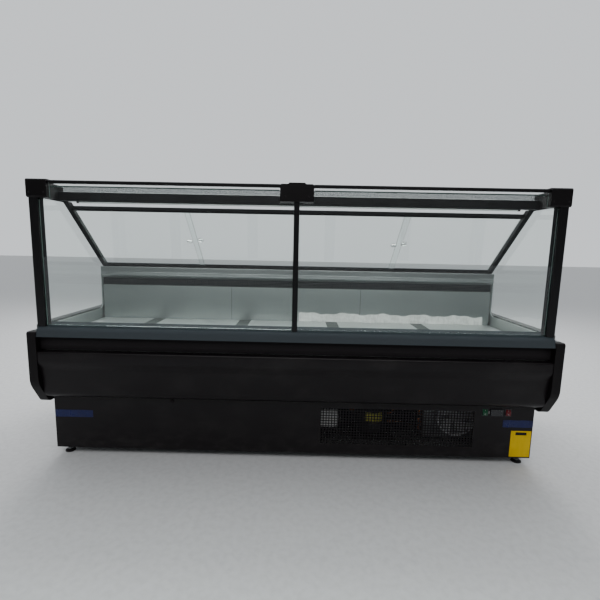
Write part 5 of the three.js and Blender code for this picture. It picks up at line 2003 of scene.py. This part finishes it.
@dataclass
class Controls(Assembly):
    """Rocker switches in their frames, the temperature display with two buttons, and a small lamp between them."""

    rim: float = 0.0016  # how far the switch frames stand off the panel
    key: Span = (0.0119, 0.0152)  # half a rocker's width and height
    tilt: float = 8.0  # of a rocker at rest, in degrees

    def rocker(self, colour: str, finish: Finish, body: Body) -> None:
        """A rocker key in its frame, with its marks: a bar at one end and a ring at the other.

        The face is two shallow slopes that meet in a soft ridge: y = -6 mm + 2 mm |v|^1.3, where v runs from -1 to 1
        over the height.

        Args:
            colour: The switch's colour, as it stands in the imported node's name.
            finish: The key's finish.
            body: The body that it rides on.
        """
        node = f"rocker_switch_{colour}"
        box = Box.of(node)
        x, _, z = box.centre
        panel = Box.of("base_front_panel").y0
        (wide, half), tilt = self.key, math.radians(self.tilt)
        v = np.linspace(-1, 1, 21)
        front = -0.0060 + 0.0020 * np.abs(v) ** 1.3
        profile = np.vstack([np.stack([front, v * half], 1), [[0.0026, 0.0143], [0.0066, 0.0], [0.0026, -0.0143]]])
        key = along_case(profile, -wide, wide)
        place = (x, panel, z)
        key = key.turned(-tilt, Axis.X).moved(place)
        self.piece(f"rocker_key_{colour}", key, finish, body, [node], bevel=0.0006)
        bar = block(Box(-0.0008, -0.0052, 0.0066, 0.0008, -0.0046, 0.0112))
        ring = self.ring((0, -0.0050, -0.0086), 0.0030, 0.0005)
        marks = Surface.join([bar, ring]).turned(-tilt, Axis.X).moved(place)
        self.piece(f"rocker_marks_{colour}", marks, PALE_MARK, body)
        outline = rectangle(x - 0.0155, z - 0.0185, x + 0.0155, z + 0.0185, 0.002)
        hole = rectangle(x - 0.0125, z - 0.0163, x + 0.0125, z + 0.0163, 0.002)
        self.piece(f"rocker_frame_{colour}", self.rim_frame(outline, hole, panel), BEZEL)

    def rim_frame(self, outer: Floats, inner: Floats, panel: float) -> Surface:
        """A raised frame between two outlines of equally many (x, z) points, closed all round.

        Args:
            outer: The outer outline.
            inner: The inner outline.
            panel: Y of the panel's face.

        Returns:
            The frame.
        """
        rings = []
        for outline, depth in ((outer, -0.0001), (outer, -self.rim), (inner, -self.rim), (inner, -0.0001)):
            rings.append(np.insert(outline, 1, panel + depth, axis=1))
        stacked = np.stack(rings)
        return Surface(stacked.reshape(-1, 3), (grid_faces(4, len(outer), True, True),))

    @staticmethod
    def ring(centre: Point, radius: float, wire: float) -> Surface:
        """A small ring about +Y."""
        theta = around(24)
        path = np.stack([radius * np.cos(theta), np.zeros(24), radius * np.sin(theta)], 1) + np.asarray(centre, float)
        return Machinery.ring_wire(path, wire)

    def display(self) -> None:
        """The bezel around a dark window; the two buttons move in their own pockets."""
        box = Box.of("temperature_controller")
        self.dress("temperature_controller", BEZEL, 0.0008)
        window = Box(box.x0 + 0.0035, box.y0 - 0.0002, box.z0 + 0.005, box.x1 - 0.0165, box.y0 + 0.0008, box.z1 - 0.005)
        self.piece("display_window", block(window), SCREEN, bevel=0.0004)
        for word, body in (("down", Body.BUTTON_DOWN), ("up", Body.BUTTON_UP)):
            self.dress(f"button_{word}", BEZEL, 0.0005)
            button = Box.of(f"button_{word}")
            x, _, z = button.centre
            s = 1 if word == "up" else -1
            tri = np.array([(x - 0.0015, z - s * 0.0009), (x + 0.0015, z - s * 0.0009), (x, z + s * 0.0013)])
            arrow = backwards(tri, button.y0 - 0.0002, button.y0 + 0.0001)
            self.piece(f"button_arrow_{word}", arrow, PALE_MARK, body)

    def lamp(self) -> None:
        """The small smoked lens between the green switch and the display."""
        green, box = Box.of("rocker_switch_green"), Box.of("temperature_controller")
        x = (green.x1 + box.x0) / 2 + 0.0006
        lens = rectangle(x - 0.0032, box.z0 + 0.010, x + 0.0032, box.z1 - 0.010, 0.0015)
        panel = Box.of("base_front_panel").y0
        self.piece("signal_lens", backwards(lens, panel - 0.0022, panel - 0.0001), SMOKED_LENS, bevel=0.0006)

    def build(self) -> None:
        """Makes the control group."""
        self.rocker("green", GREEN, Body.ROCKER_GREEN)
        self.rocker("red", RED, Body.ROCKER_RED)
        self.display()
        self.lamp()


# ---- studio


@dataclass
class Studio:
    """Pale floor, soft light and the camera in front of the case."""

    camera_height: float = 1.055
    camera_distance: float = 1.719  # from the front edge of the end panels
    camera_side: float = 0.017  # to the right of the middle
    pitch: float = 7.7
    roll: float = 1.14
    yaw: float = 0.55
    lens: float = 22.8
    shift: float = 0.0083
    behind: float = 0.95  # brightness of the surroundings behind the case
    before: float = 0.13  # and in front of it
    above: float = 0.35  # more of it overhead
    seen: float = 0.93  # brightness where it is seen straight or through glass
    tint: Colour = (0.93, 0.965, 1.0)

    def floor(self) -> None:
        """A wide plain floor with a faint variation in its shade."""
        reach = 30.0
        points = np.array([(-reach, -reach, 0), (reach, -reach, 0), (reach, reach, 0), (-reach, reach, 0)], float)
        mesh = bpy.data.meshes.new("studio_floor")
        mesh.from_pydata(points.tolist(), [], [(0, 1, 2, 3)])
        mesh.materials.append(PlainPlastic("studio_floor_paint", (0.62, 0.625, 0.63), 0.55).material())
        floor = bpy.data.objects.new("studio_floor", mesh)
        bpy.context.scene.collection.objects.link(floor)
        floor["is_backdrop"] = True

    def surroundings(self) -> None:
        """A pale surround that is bright behind the case and above it, and dim in front of it."""
        world = bpy.data.worlds.new("studio")
        world.use_nodes = True
        bpy.context.scene.world = world
        sheet = ShaderSheet(world.node_tree)
        where = sheet.node("ShaderNodeTexCoord").outputs["Generated"]
        split = sheet.node("ShaderNodeSeparateXYZ", {}, {0: where})
        back = Value(sheet, split.outputs["Y"]).eased(-0.35, 0.75)
        above = Value(sheet, split.outputs["Z"]).eased(0.2, 1.0)
        level = self.before + back * (self.behind - self.before) + above * self.above
        path = sheet.node("ShaderNodeLightPath")
        through = Value(sheet, path.outputs["Is Transmission Ray"])
        straight = Value(sheet, path.outputs["Is Camera Ray"]).largest(through)
        turns = Value(sheet, path.outputs["Glossy Depth"]) + Value(sheet, path.outputs["Diffuse Depth"])
        seen = straight * (1 - turns).largest(0.0)
        strength = level * (1 - seen) + seen * self.seen
        light = sheet.node("ShaderNodeBackground", {}, {"Color": self.tint, "Strength": strength})
        sheet.finish(light.outputs[0], "ShaderNodeOutputWorld")

    def lamp(self, name: str, place: Point, aim: Point, size: Span, power: float) -> None:
        """One rectangular softbox.

        Args:
            name: The light's name.
            place: Where it stands.
            aim: The point that it faces.
            size: Its width and height.
            power: Its power in watts.
        """
        light = bpy.data.lights.new(name, "AREA")
        light.shape = "RECTANGLE"
        light.size, light.size_y = size
        light.energy = power
        made = bpy.data.objects.new(name, light)
        made.location = place
        made.rotation_euler = (Vector(aim) - Vector(place)).to_track_quat("-Z", "Y").to_euler()
        bpy.context.scene.collection.objects.link(made)

    def camera(self) -> None:
        """The camera, level with the glass and looking a little down."""
        low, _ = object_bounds()
        data = bpy.data.cameras.new("front_camera")
        data.lens, data.sensor_width, data.shift_x = self.lens, 36.0, self.shift
        made = bpy.data.objects.new("front_camera", data)
        aim = Matrix.Rotation(math.radians(self.yaw), 4, "Z") @ Matrix.Rotation(math.radians(90 - self.pitch), 4, "X")
        place = Matrix.Translation((self.camera_side, low.y - self.camera_distance, self.camera_height))
        made.matrix_world = place @ aim @ Matrix.Rotation(math.radians(self.roll), 4, "Z")
        bpy.context.scene.collection.objects.link(made)
        bpy.context.scene.camera = made

    def build(self) -> None:
        """Sets the stage."""
        self.camera()
        self.floor()
        self.surroundings()
        self.lamp("high_front_softbox", (0, -3.4, 3.6), (0, -0.3, 0.7), (5.0, 1.6), 90)
        self.lamp("rear_sky_softbox", (0, 3.2, 3.4), (0, 0, 0.7), (6.0, 2.0), 260)


# ---- main


def main() -> None:
    """Builds the studio and every sub-assembly."""
    logging.basicConfig(level=logging.INFO, format="%(name)s: %(message)s")
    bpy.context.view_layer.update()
    Studio().build()
    machinery, superstructure = Machinery(), Superstructure()
    for assembly in (
        EndPanels(),
        FrontSkirt(),
        MachineBase(),
        machinery,
        DisplayWell(),
        superstructure,
        FrontPanes(superstructure),
        RearDoors(superstructure),
        Controls(),
    ):
        assembly.build()
    machinery.rotor("evaporator_fan_left", Body.EVAPORATOR_FAN_LEFT, 5, 0.035, FAN_BLACK)
    machinery.rotor("evaporator_fan_right", Body.EVAPORATOR_FAN_RIGHT, 5, 0.035, FAN_BLACK)


if __name__ == "__main__":
    main()
